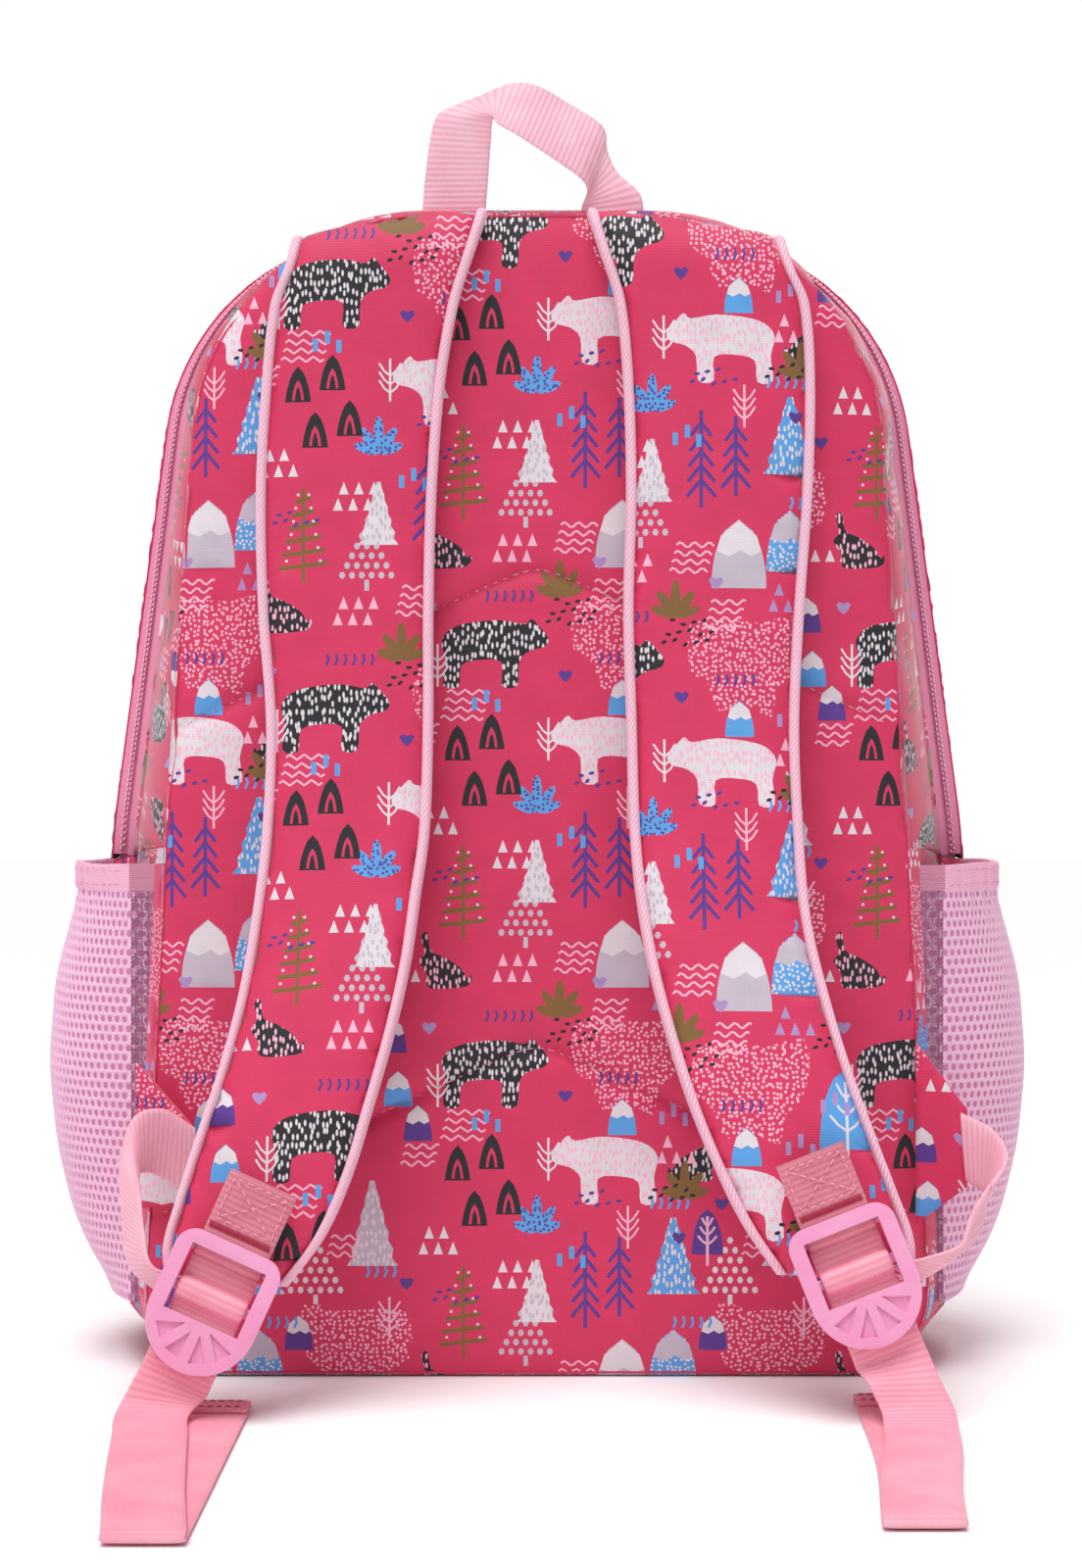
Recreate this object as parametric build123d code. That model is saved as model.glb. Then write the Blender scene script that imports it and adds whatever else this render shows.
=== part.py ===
"""School backpack: quilted back panel, gusset, zipped front flap, pockets, straps and webbing.

Millimetres, +Z up. The origin is the centre of the base's underside. The back panel with the
shoulder straps faces -Y, the front pocket faces +Y. Each sewn or moulded piece is its own solid.
"""
from build123d import *
import math
import os

os.makedirs("parts", exist_ok=True)

# ---------------------------------------------------------------- driving dimensions
BODY_HEIGHT = 412.0
MIDDLE_Z = 188.0
PANEL_BACK_Y = -62.5
GUSSET_BACK_Y = -53.5
ZIP_HALF = 7.0
GUSSET_FRONT_Y = 58.0
FRONT_Y = 60.4
WALL = 2.4
LINING = 1.2
COVER = 1.6
GAP = 0.3
COIL_HALF = 1.3
COIL_PROUD = 0.6
BASE_TOP = 30.0
FOLD_Z = 183.0
FLAP_BOTTOM = FOLD_Z + GAP
RUN_ON = 3.0
REACH = 400.0

# Half widths at the foot, at mid height and at the top, then the height of each outline
BACK_OUTLINE = (141.0, 132.5, 118.0, BODY_HEIGHT)
REAR_ZIP_OUTLINE = (154.0, 149.0, 121.5, 416.0)
FRONT_ZIP_OUTLINE = (159.0, 160.5, 130.0, 416.0)
ZIP_TOP = REAR_ZIP_OUTLINE[3]
FRONT_OUTLINE = (145.0, 140.0, 112.0, 405.0)
FOOT_RADIUS = 30.0
MIDDLE_RADIUS = 200.0
SHOULDER_RADIUS = 85.0
CORNER_BAND = 20.0

POCKET_FRONT_Y = 95.0
POCKET_FOOT = 12.0
POCKET_TOP = 140.0
POCKET_FOOT_HALF = 116.0
POCKET_TOP_HALF = 112.0
POCKET_RADIUS = 28.0
POCKET_ZIP_Y = 78.0
POCKET_ZIP_HALF = 84.0

SIDE_POCKET_REACH = ((24.0, 157.0), (34.0, 165.0), (50.0, 173.0), (76.0, 179.5), (106.0, 182.5),
                     (138.0, 180.0), (158.0, 174.5), (170.5, 170.0))
SIDE_POCKET_HALF_DEPTH = 47.0
SIDE_POCKET_ROOT = 120.0
MESH_WALL = 1.6
ELASTIC_HEIGHT = 10.0
ELASTIC_WALL = 2.0
OUTSET = 0.05

WEBBING = 24.0
WEBBING_THICK = 1.6
STRAP_THICK = 11.0
STRAP_COVER = 1.4
STRAP_MESH = 2.4
BINDING_WIDTH = 4.5
BINDING_PROUD = 0.7

BAR_RADIUS = 1.4
LOOP_BORE = 1.75
LOOP_OUTER = 3.05
PATCH_THICK = 2.6
LOCK_HALF = 18.5
LOCK_WINDOW = 13.2
LOCK_TOP = 5.5
LOCK_LIP = -39.0
LOCK_BACK = -1.4
LOCK_FRONT = 5.6
LOCK_CORNER = 7.0
LOCK_CLEAR = 10.0
WINDOW_FOOT = -22.0
WINDOW_HEAD = 0.6
BAR_SEAT = -1.0
MIDDLE_BAR_UP = (-15.5, -12.0)
MIDDLE_BAR_OUT = (-0.4, 2.6)
MIDDLE_BAR_ROUND = 0.9

# Webbing behind and over the lock's middle bar, then behind its lip: up and out in the lock's plane
TAIL_ROUTE = (
    (-9.9, -1.6), (-10.6, 0.6), (-10.9, 2.9), (-12.3, 3.9), (-15.2, 3.9), (-16.6, 2.9), (-17.2, 0.8),
    (-18.8, -0.4), (-22.0, 0.0), (-39.0, 0.0), (-43.0, -0.4),
)

SLIDER_LENGTH = 11.0
SLIDER_HALF = 4.6
SLIDER_LIFT = 1.9
SLIDER_PLATE = 1.6
FLANGE_GAP = 1.2
BRIDGE_HEIGHT = 3.6
BRIDGE_HALF = 1.1
BRIDGE_LENGTH = 6.8
PIN_RADIUS = 0.7
PULL_LENGTH = 30.0
PULL_HALF = 3.6
PULL_THICK = 1.8
PULL_HEEL = 1.6
PULL_SLOT = 7.0
PULL_CORNER = 2.4

# Top bar's middle and the lock's lean: degrees outwards in the upright plane, and forwards
LOCKS = {"left": ((-101.5, -121.0, 52.6), 24.4), "right": ((100.5, -119.8, 61.5), -21.5)}
LOCK_FORWARD = 10.0
PATCH_ABOVE = 27.0
PATCH_LIFT = 1.0
LIP_THICK_FROM = 1.5
RECESS_DEEP = 1.2
RECESS_INNER = 5.5
RECESS_OUTER = 15.0
RECESS_ANGLES = (206.0, 242.0, 277.0, 312.0)
RECESS_SPREAD = 22.0

# Shoulder straps from the top seam down: left edge (x, z), right edge (x, z), depth y of the core
LEFT_STRAP = (
    ((-86, 396), (-18, 407), -69.5), ((-93, 377), (-27, 379), -69.5),
    ((-96, 350), (-32, 350), -69.6), ((-98, 311), (-35, 311), -70.5),
    ((-97, 270), (-36, 270), -72.0), ((-94, 230), (-36, 230), -74.5),
    ((-95, 192), (-37, 194), -79.0), ((-98, 162), (-40, 171), -84.5),
    ((-102, 136), (-43, 149), -90.5), ((-108, 112), (-48, 126), -96.5),
    ((-115, 90), (-55, 101), -102.0), ((-121, 70), (-62, 78), -106.5),
    ((-125, 54), (-71, 58), -110.0), ((-123, 43), (-83, 42), -112.0),
)
RIGHT_STRAP = (
    ((18, 407), (87, 396), -69.5), ((27, 379), (95, 377), -69.5),
    ((30, 350), (97, 350), -69.6), ((31, 311), (96, 311), -70.5),
    ((30, 270), (93, 270), -72.0), ((31, 230), (91, 230), -74.5),
    ((32, 194), (92, 192), -79.0), ((34, 171), (94, 163), -84.5),
    ((38, 147), (99, 139), -90.5), ((44, 124), (106, 114), -96.5),
    ((51, 102), (114, 91), -102.0), ((60, 80), (121, 72), -106.0),
    ((69, 62), (126, 57), -109.5), ((80, 46), (126, 44), -112.0),
)

# Haul loop edges from the left foot over the top to the right foot
HAUL_LOOP = (
    ((-41, -51, 413.4), (-18, -51, 413.4)), ((-39, -49, 425), (-17, -50, 425)),
    ((-36, -48, 439), (-15, -53, 439)), ((-28, -46, 452), (-11, -58, 441)),
    ((-10, -42, 461), (-3, -61, 439)), ((5, -38, 460), (6, -59, 433)),
    ((21, -37, 449), (15, -55, 427)), ((33, -42, 433), (17, -52, 420)),
    ((38, -51, 421), (16, -51, 417.5)), ((38, -51, 413.4), (15, -51, 413.4)),
)

# Webbing from each wing to its buckle, and each free tail after the buckle
LEFT_ADJUSTER = (
    ((-121, -72, 90), (-121, -72, 66)), ((-130, -76, 97), (-132, -76, 74)),
    ((-139, -81, 95), (-136, -86, 76)), ((-143, -86, 82), (-134, -100, 73)),
    ((-141, -96, 64), (-131, -112, 60)), ((-138, -106, 50), (-129, -120, 50)),
)
RIGHT_ADJUSTER = (
    ((150, -71, 95), (152, -71, 71)), ((158, -76, 90), (156, -77, 67)),
    ((162, -84, 82), (153, -87, 64)), ((155, -91, 72), (146, -103, 64)),
    ((150, -99, 58), (141, -113, 56)), ((139, -111, 50), (129.5, -121, 53)),
)
LEFT_TAIL = (
    ((-136, -131, 7.5), (-112, -131, 5.5)), ((-137, -139, 4.4), (-113, -138, 4.0)),
    ((-135, -155, 3.4), (-111, -153, 3.4)), ((-131, -190, 3.4), (-107, -187, 3.4)),
    ((-126, -230, 3.4), (-102, -228, 3.4)), ((-120.5, -267, 3.4), (-96.5, -267, 3.4)),
    ((-120.5, -269.5, 2.3), (-96.5, -269.5, 2.3)), ((-120.5, -267, 1.2), (-96.5, -267, 1.2)),
    ((-120, -190, 1.2), (-96, -190, 1.2)), ((-119.5, -122, 1.2), (-95.5, -122, 1.2)),
)
RIGHT_TAIL = (
    ((108, -133, 14), (132, -133, 15)), ((111.5, -139, 6.5), (135.5, -139, 7)),
    ((111, -148, 3.6), (135, -150, 3.6)), ((108.5, -170, 3.4), (132.5, -173, 3.4)),
    ((102, -212, 3.4), (126, -214, 3.4)), ((97.5, -252, 3.4), (121.5, -252, 3.4)),
    ((97.5, -254.5, 2.3), (121.5, -254.5, 2.3)), ((97.5, -252, 1.2), (121.5, -252, 1.2)),
    ((104.5, -180, 1.2), (128.5, -182, 1.2)), ((107, -112, 1.2), (131, -112, 1.2)),
)
HEM_LENGTH = 14.0

SIDES = ("left", "right")


# ---------------------------------------------------------------- helpers
def save(name, shape):
    """One STEP file for one named piece."""
    shape.label = name
    export_step(shape, f"parts/{name}.step")


def block(x_low, x_high, y_low, y_high, z_low, z_high):
    """A box given by its six faces."""
    size = (x_high - x_low, y_high - y_low, z_high - z_low)
    middle = ((x_high + x_low) / 2, (y_high + y_low) / 2, (z_high + z_low) / 2)
    return Pos(*middle) * Box(*size)


def upright(y):
    """The upright plane at one depth, seen from the back: local x is X, local y is Z."""
    return Plane(origin=(0, y, 0), x_dir=(1, 0, 0), z_dir=(0, -1, 0))


def outline(y, sizes, inset=0.0):
    """Rounded trapezoid that swells at mid height, set inwards by the inset."""
    foot, middle, top, height = sizes
    right = [(foot - inset, inset), (middle - inset, MIDDLE_Z), (top - inset, height - inset)]
    left = [(-x, z) for x, z in reversed(right)]
    face = make_face(Polyline(*right, *left, close=True))
    for height, radius in ((0.0, FOOT_RADIUS), (MIDDLE_Z, MIDDLE_RADIUS), (BODY_HEIGHT, SHOULDER_RADIUS)):
        corners = [v for v in face.vertices() if abs(v.Y - height) < CORNER_BAND]
        face = fillet(corners, radius - inset)
    return upright(y) * face


def bag(inset):
    """The bag's solid between the back panel and the front panel, set inwards by the inset."""
    stations = [
        (GUSSET_BACK_Y, BACK_OUTLINE), (-ZIP_HALF, REAR_ZIP_OUTLINE),
        (ZIP_HALF, FRONT_ZIP_OUTLINE), (GUSSET_FRONT_Y, FRONT_OUTLINE),
    ]
    if inset:
        stations = [(GUSSET_BACK_Y - RUN_ON, BACK_OUTLINE)] + stations
        stations = stations + [(GUSSET_FRONT_Y + RUN_ON, FRONT_OUTLINE)]
    return loft([outline(y, sizes, inset) for y, sizes in stations], ruled=True)


def panel(y_low, y_high, sizes):
    """A flat panel of one outline between two depths."""
    return extrude(outline(y_high, sizes), amount=y_high - y_low)


def depth_range(y_low, y_high, z_low=-REACH, z_high=2 * REACH):
    """All of the bag between two depths, and between two heights when they are given."""
    return block(-REACH, REACH, y_low, y_high, z_low, z_high)


def band(edges, thickness, shift=0.0, cut=None):
    """A flat band whose two edges pass through pairs of points, as ruled blocks between rectangles.

    The shift moves it along its own normal. The cut gives, from the full width, the two distances
    from the first edge between which the band is kept.
    """
    pairs = [(Vector(*a), Vector(*b)) for a, b in edges]
    middles = [(a + b) * 0.5 for a, b in pairs]
    last = len(pairs) - 1
    sections = []
    for i, (a, b) in enumerate(pairs):
        before = (middles[max(i, 1)] - middles[max(i, 1) - 1]).normalized()
        after = (middles[min(i + 1, last)] - middles[min(i + 1, last) - 1]).normalized()
        across = (b - a).normalized()
        normal = across.cross(before + after).normalized()
        start, end = cut((b - a).length) if cut else (0.0, (b - a).length)
        middle = a + across * ((start + end) / 2) + normal * shift
        plane = Plane(origin=middle, x_dir=across, z_dir=across.cross(normal))
        sections.append(plane * Rectangle(end - start, thickness))
    blocks = [loft(list(pair), ruled=True) for pair in zip(sections, sections[1:])]
    return blocks[0].fuse(*blocks[1:]) if len(blocks) > 1 else blocks[0]


def mirror_x(shape, side):
    """The left piece as it is, the right one mirrored about the middle plane."""
    return shape if side == "left" else mirror(shape, about=Plane.YZ)


# ---------------------------------------------------------------- back panel
def back_panel():
    """Quilted back panel: printed cover, foam and lining, sewn together round the edge."""
    foam_front = GUSSET_BACK_Y - LINING
    save("back_panel_cover", panel(PANEL_BACK_Y, PANEL_BACK_Y + COVER, BACK_OUTLINE))
    save("back_panel_foam", panel(PANEL_BACK_Y + COVER, foam_front, BACK_OUTLINE))
    save("back_panel_lining", panel(foam_front, GUSSET_BACK_Y, BACK_OUTLINE))


# ---------------------------------------------------------------- gusset, zip and linings
def bag_shells():
    """The bag's wall and lining as closed rings round the depth axis."""
    outer = bag(0.0)
    wall_inside = bag(WALL)
    lining_inside = bag(WALL + LINING)
    lined = wall_inside & depth_range(GUSSET_BACK_Y, GUSSET_FRONT_Y)
    return outer, outer - wall_inside, lined - lining_inside


def gusset(wall):
    """Base, side panels and the arched rear gusset of the bag's fixed half."""
    save("base_panel", wall & depth_range(-REACH, REACH, -1, BASE_TOP))
    sides = wall & depth_range(-REACH, REACH, BASE_TOP, FOLD_Z)
    save("side_panel_left", sides & block(-REACH, 0, -REACH, REACH, 0, REACH))
    save("side_panel_right", sides & block(0, REACH, -REACH, REACH, 0, REACH))
    save("rear_gusset", wall & depth_range(GUSSET_BACK_Y, -ZIP_HALF, FOLD_Z))
    save("flap_gusset", wall & depth_range(ZIP_HALF, GUSSET_FRONT_Y, FLAP_BOTTOM))


def main_zip(wall):
    """Zip tapes and the two halves of the coil, over the arch from fold line to fold line."""
    save("zip_tape_rear", wall & depth_range(-ZIP_HALF, -COIL_HALF, FOLD_Z))
    save("zip_tape_front", wall & depth_range(COIL_HALF, ZIP_HALF, FLAP_BOTTOM))
    edges = ((-ZIP_HALF, REAR_ZIP_OUTLINE), (ZIP_HALF, FRONT_ZIP_OUTLINE))
    proud = loft([outline(y, sizes, -COIL_PROUD) for y, sizes in edges], ruled=True)
    core = loft([outline(y, sizes, WALL) for y, sizes in edges], ruled=True)
    coil = proud - core
    save("zip_coil_rear", coil & depth_range(-COIL_HALF, -GAP / 2, FOLD_Z))
    save("zip_coil_front", coil & depth_range(GAP / 2, COIL_HALF, FLAP_BOTTOM))


def linings(lining):
    """Lining of the fixed half, and lining of the flap with its front sheet."""
    fixed = lining & depth_range(-REACH, REACH, -1, FOLD_Z)
    fixed += lining & depth_range(-REACH, -GAP / 2, FOLD_Z)
    save("main_lining", fixed)
    sheet = panel(GUSSET_FRONT_Y, GUSSET_FRONT_Y + LINING, FRONT_OUTLINE)
    moving = lining & depth_range(GAP / 2, REACH, FLAP_BOTTOM)
    save("flap_lining", moving)
    save("front_lining_lower", sheet & depth_range(0, REACH, -1, FOLD_Z))
    save("front_lining_upper", sheet & depth_range(0, REACH, FLAP_BOTTOM))


def front_panels():
    """Printed front panel, split at the line where the flap folds down."""
    cover = panel(GUSSET_FRONT_Y + LINING, FRONT_Y, FRONT_OUTLINE)
    save("front_panel_lower", cover & depth_range(0, REACH, -1, FOLD_Z))
    save("front_panel_upper", cover & depth_range(0, REACH, FLAP_BOTTOM))


# ---------------------------------------------------------------- sliders and pulls
def slider(base, start, direction, both_flanges):
    """Zip slider above the tape at the base height, its nose at the start, running along X.

    The flange on the flap's side is left out on the main zip, so that the flap can lift clear.
    """
    depth, height = base
    low = height + SLIDER_LIFT
    x_low, x_high = sorted((start, start + direction * SLIDER_LENGTH))
    body = block(x_low, x_high, depth - SLIDER_HALF, depth + SLIDER_HALF, low, low + SLIDER_PLATE)
    flange_low = height + GAP
    body += block(x_low, x_high, depth - SLIDER_HALF, depth - COIL_HALF - FLANGE_GAP, flange_low, low)
    if both_flanges:
        body += block(x_low, x_high, depth + COIL_HALF + FLANGE_GAP, depth + SLIDER_HALF, flange_low, low)
    middle = (x_low + x_high) / 2
    top = low + SLIDER_PLATE
    post = Pos(middle, depth, top + BRIDGE_HEIGHT / 2) * Box(BRIDGE_LENGTH, 2 * BRIDGE_HALF, BRIDGE_HEIGHT)
    pivot = (middle, depth, top + BRIDGE_HEIGHT / 2)
    hole = Pos(*pivot) * Rot(90, 0, 0) * Cylinder(PIN_RADIUS + GAP, 4 * BRIDGE_HALF)
    return body + (post - hole), pivot


def pull(pivot, direction):
    """Pull tab: a pin through the slider's bridge, two arms and a grip, lying along the zip."""
    x, y, z = pivot
    pin = Pos(x, y, z) * Rot(90, 0, 0) * Cylinder(PIN_RADIUS, 2 * PULL_HALF)
    frame = block(-PULL_HEEL, PULL_LENGTH, -PULL_HALF, PULL_HALF, -PULL_THICK / 2, PULL_THICK / 2)
    frame -= block(-PULL_HEEL - 1, PULL_SLOT, -BRIDGE_HALF - 0.5, BRIDGE_HALF + 0.5, -PULL_THICK, PULL_THICK)
    frame = fillet(frame.edges().filter_by(Axis.Z).group_by(Axis.X)[-1], PULL_CORNER)
    if direction < 0:
        frame = mirror(frame, about=Plane.YZ)
    return Pos(x, y, z) * frame + pin


def main_sliders():
    """Two sliders that meet at the top of the arch, each with its pull lying outwards."""
    top = (0.0, ZIP_TOP + COIL_PROUD)
    for side, direction in (("left", -1), ("right", 1)):
        body, pivot = slider(top, direction * 1.0, direction, both_flanges=False)
        save(f"main_slider_{side}", body)
        save(f"main_pull_{side}", pull(pivot, direction))


# ---------------------------------------------------------------- front pocket
def pocket_outline(y, inset=0.0):
    """Rounded outline of the front pocket."""
    foot = POCKET_FOOT_HALF - inset
    top = POCKET_TOP_HALF - inset
    low = POCKET_FOOT + inset
    high = POCKET_TOP - inset
    face = make_face(Polyline((-foot, low), (-top, high), (top, high), (foot, low), close=True))
    return upright(y) * fillet(face.vertices(), POCKET_RADIUS - inset)


def front_pocket():
    """Front pocket: printed front, gusset round it, and a zip along the top."""
    back = FRONT_Y + OUTSET
    seam = POCKET_FRONT_Y - WALL
    save("front_pocket_panel", extrude(pocket_outline(POCKET_FRONT_Y), amount=WALL))
    ring = extrude(pocket_outline(seam), amount=seam - back)
    ring -= extrude(pocket_outline(seam + WALL, WALL), amount=seam - back + 2 * WALL)
    slot = block(-POCKET_ZIP_HALF, POCKET_ZIP_HALF, POCKET_ZIP_Y - ZIP_HALF, POCKET_ZIP_Y + ZIP_HALF,
                 POCKET_TOP - 10, POCKET_TOP + 5)
    save("front_pocket_gusset", ring - slot)
    level = POCKET_TOP - WALL
    tapes = [
        block(-POCKET_ZIP_HALF, POCKET_ZIP_HALF, low, high, level, POCKET_TOP)
        for low, high in ((POCKET_ZIP_Y - ZIP_HALF, POCKET_ZIP_Y - COIL_HALF),
                          (POCKET_ZIP_Y + COIL_HALF, POCKET_ZIP_Y + ZIP_HALF))
    ]
    save("front_pocket_zip_tapes", Compound(children=tapes))
    coil = block(-POCKET_ZIP_HALF, POCKET_ZIP_HALF, POCKET_ZIP_Y - COIL_HALF, POCKET_ZIP_Y + COIL_HALF,
                 level, POCKET_TOP + COIL_PROUD)
    save("front_pocket_zip_coil", coil)
    base = (POCKET_ZIP_Y, POCKET_TOP + COIL_PROUD)
    body, pivot = slider(base, -POCKET_ZIP_HALF + 3, 1, both_flanges=True)
    save("front_pocket_slider", body)
    save("front_pocket_pull", pull(pivot, 1))


# ---------------------------------------------------------------- side pockets
def side_pocket_section(height, reach, inset=0.0):
    """Level section of a side pocket: a straight root inside the bag and one bulging arc."""
    half = SIDE_POCKET_HALF_DEPTH - inset
    root = -SIDE_POCKET_ROOT
    shoulder = -146.0 + inset
    arc = ThreePointArc((shoulder, -half), (-reach + inset, 0), (shoulder, half))
    rest = Polyline((shoulder, half), (root, half), (root, -half), (shoulder, -half))
    return Plane(origin=(0, 0, height), x_dir=(1, 0, 0), z_dir=(0, 0, 1)) * make_face([arc, rest])


def side_pocket_solid(stations, inset=0.0):
    """The bulging solid of a left side pocket."""
    return loft([side_pocket_section(z, reach, inset) for z, reach in stations], ruled=True)


def side_pockets(outer):
    """Mesh pockets on both sides, each with an elastic band round its mouth."""
    bag_side = outer & block(-REACH, 0, -REACH, REACH, -1, REACH)
    foot = SIDE_POCKET_REACH[0][0]
    mouth, mouth_reach = SIDE_POCKET_REACH[-1]
    shell = side_pocket_solid(SIDE_POCKET_REACH)
    hollow = side_pocket_solid(
        ((foot + MESH_WALL, SIDE_POCKET_REACH[0][1]),) + SIDE_POCKET_REACH[1:] + ((mouth + 20, mouth_reach),),
        MESH_WALL,
    )
    mesh = shell - hollow - bag_side
    band_stations = ((mouth, mouth_reach + 0.4), (mouth + ELASTIC_HEIGHT, mouth_reach + 0.4))
    hollow_stations = ((mouth - 1, mouth_reach + 0.4), (mouth + ELASTIC_HEIGHT + 1, mouth_reach + 0.4))
    elastic = side_pocket_solid(band_stations) - side_pocket_solid(hollow_stations, ELASTIC_WALL) - bag_side
    for side in SIDES:
        save(f"side_pocket_mesh_{side}", mirror_x(largest(mesh), side))
        save(f"side_pocket_elastic_{side}", mirror_x(largest(elastic), side))


def largest(shape):
    """The largest solid of a shape that a cut may have left in several."""
    return max(shape.solids(), key=lambda solid: solid.volume)


# ---------------------------------------------------------------- haul loop
def haul_loop():
    """Carrying loop of webbing, its feet sewn into the top seam and its top twisted over."""
    save("haul_loop", band(HAUL_LOOP, WEBBING_THICK))


# ---------------------------------------------------------------- shoulder straps
def strap_edges(stations):
    """Pairs of edge points of a shoulder strap's core."""
    return [((a[0], y, a[1]), (b[0], y, b[1])) for a, b, y in stations]


def shoulder_strap(side, stations):
    """Padded strap: printed cover, foam core, mesh lining and bound edges."""
    edges = strap_edges(stations)
    half = STRAP_THICK / 2
    foam = STRAP_THICK - STRAP_COVER - STRAP_MESH
    foam_shift = -half + STRAP_COVER + foam / 2
    save(f"strap_cover_{side}", band(edges, STRAP_COVER, -half + STRAP_COVER / 2, inner_part))
    save(f"strap_foam_{side}", band(edges, foam, foam_shift, inner_part))
    save(f"strap_lining_{side}", band(edges, STRAP_MESH, half - STRAP_MESH / 2, inner_part))
    thick = STRAP_THICK + 2 * BINDING_PROUD
    rolls = [band(edges, thick, 0.0, cut) for cut in (first_rim, second_rim)]
    save(f"strap_binding_{side}", Compound(children=rolls))


def inner_part(width):
    """The strap between its two bound edges."""
    return BINDING_WIDTH, width - BINDING_WIDTH


def first_rim(width):
    """The bound edge on the strap's first side."""
    return 0.0, BINDING_WIDTH


def second_rim(width):
    """The bound edge on the strap's second side."""
    return width - BINDING_WIDTH, width


# ---------------------------------------------------------------- buckles and webbing
def lock_plane(side):
    """The buckle's own plane: x across it, y up it, z out from the strap, at its top bar."""
    origin, lean = LOCKS[side]
    turn = math.radians(lean)
    across = Vector(math.cos(turn), 0, -math.sin(turn))
    forward = math.radians(LOCK_FORWARD)
    level_up = Vector(math.sin(turn), 0, math.cos(turn))
    up = level_up * math.cos(forward) + Vector(0, 1, 0) * math.sin(forward)
    return Plane(origin=origin, x_dir=across, z_dir=across.cross(up))


def across_plane(plane, half, y, z):
    """The two edge points of a band's station, given in a buckle's own plane."""
    return tuple(tuple(plane.from_local_coords((x, y, z))) for x in (-half, half))


def bar(plane, radius, half_length, x_push=0.0):
    """A round bar along the plane's x axis."""
    return plane * (Pos(x_push, 0, 0) * Rot(0, 90, 0) * Cylinder(radius, 2 * half_length))


def buckle_loop(side):
    """Webbing sewn flat on the strap's end and looped round the buckle's top bar."""
    plane = lock_plane(side)
    half = WEBBING / 2
    rows = (
        (PATCH_ABOVE, PATCH_LIFT + 1.6), (PATCH_ABOVE / 2, PATCH_LIFT + 0.5),
        (LOOP_OUTER, 0.0), (0.0, 0.0),
    )
    edges = [across_plane(plane, half, y, z) for y, z in rows]
    loop = band(edges, PATCH_THICK) + bar(plane, LOOP_OUTER, half)
    return loop - bar(plane, LOOP_BORE, half + 5)


def ladder_lock(side):
    """Moulded ladder lock: rounded frame with a lip, a round top bar and a flat middle bar."""
    plane = lock_plane(side)
    depth = LOCK_FRONT - LOCK_BACK
    lip_start = LOCK_LIP + LOCK_HALF
    corners = ((LOCK_HALF, lip_start), (LOCK_HALF, LOCK_TOP), (-LOCK_HALF, LOCK_TOP), (-LOCK_HALF, lip_start))
    top = Polyline(*corners)
    lip = ThreePointArc((-LOCK_HALF, lip_start), (0, LOCK_LIP), (LOCK_HALF, lip_start))
    face = make_face([top, lip])
    face = fillet([v for v in face.vertices() if v.Y > 0], LOCK_CORNER)
    frame = extrude(Pos(0, 0, LOCK_BACK) * face, amount=depth)
    frame -= block(-LOCK_WINDOW, LOCK_WINDOW, WINDOW_FOOT, WINDOW_HEAD, -LOCK_CLEAR, LOCK_CLEAR)
    frame -= block(-LOCK_WINDOW, LOCK_WINDOW, BAR_SEAT, LOCK_CLEAR, -LOCK_CLEAR, LOOP_OUTER + GAP)
    frame -= block(-LOCK_HALF - 1, LOCK_HALF + 1, LOCK_LIP - 1, WINDOW_FOOT, -LOCK_CLEAR, LIP_THICK_FROM)
    frame -= lip_recesses(lip_start)
    middle_bar = block(-LOCK_WINDOW - 1, LOCK_WINDOW + 1, *MIDDLE_BAR_UP, *MIDDLE_BAR_OUT)
    frame += fillet(middle_bar.edges().filter_by(Axis.X), MIDDLE_BAR_ROUND)
    return plane * frame + bar(plane, BAR_RADIUS, LOCK_WINDOW + 1)


def lip_recesses(lip_start):
    """Shallow triangular recesses that fan out over the front of the lip."""
    cuts = []
    for angle in RECESS_ANGLES:
        far = angle + RECESS_SPREAD
        polar = ((RECESS_INNER, (angle + far) / 2), (RECESS_OUTER, angle), (RECESS_OUTER, far))
        corners = [(reach * math.cos(math.radians(turn)), lip_start + reach * math.sin(math.radians(turn)))
                   for reach, turn in polar]
        face = make_face(Polyline(*corners, close=True))
        cuts.append(extrude(Pos(0, 0, LOCK_FRONT - RECESS_DEEP) * face, amount=2 * RECESS_DEEP))
    return Compound(children=cuts)


def webbing_tail(side, ground_edges):
    """Webbing over the lock's middle bar, out behind its lip, down to the ground and back."""
    plane = lock_plane(side)
    half = WEBBING / 2
    edges = [across_plane(plane, half, y, z) for y, z in TAIL_ROUTE]
    edges += list(ground_edges)
    tail = band(edges, WEBBING_THICK)
    (x1, y1, z1), (x2, y2, _) = ground_edges[-1]
    hem = (((x1, y1 - 0.5, z1), (x2, y2 - 0.5, z1)), ((x1, y1 + HEM_LENGTH, z1), (x2, y2 + HEM_LENGTH, z1)))
    doubled = band(hem, WEBBING_THICK)
    doubled += band(hem, WEBBING_THICK, -WEBBING_THICK if band_rises(hem) else WEBBING_THICK)
    return tail + doubled


def band_rises(edges):
    """True when a band's normal points down, so that a negative shift lifts it."""
    across = Vector(*edges[0][1]) - Vector(*edges[0][0])
    along = Vector(*edges[1][0]) - Vector(*edges[0][0])
    return across.cross(along).Z < 0


def wing(side):
    """Printed triangular wing sewn into the side seam, with the webbing sewn in its tip."""
    if side == "left":
        edges = (((-138, -64.2, 112), (-139, -64.2, 60)), ((-122, -69.5, 91), (-122, -69.5, 65)))
    else:
        edges = (((135, -64.2, 118), (137, -64.2, 56)), ((149, -69.0, 96), (151, -69.0, 70)))
    return band(edges, WALL)


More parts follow.
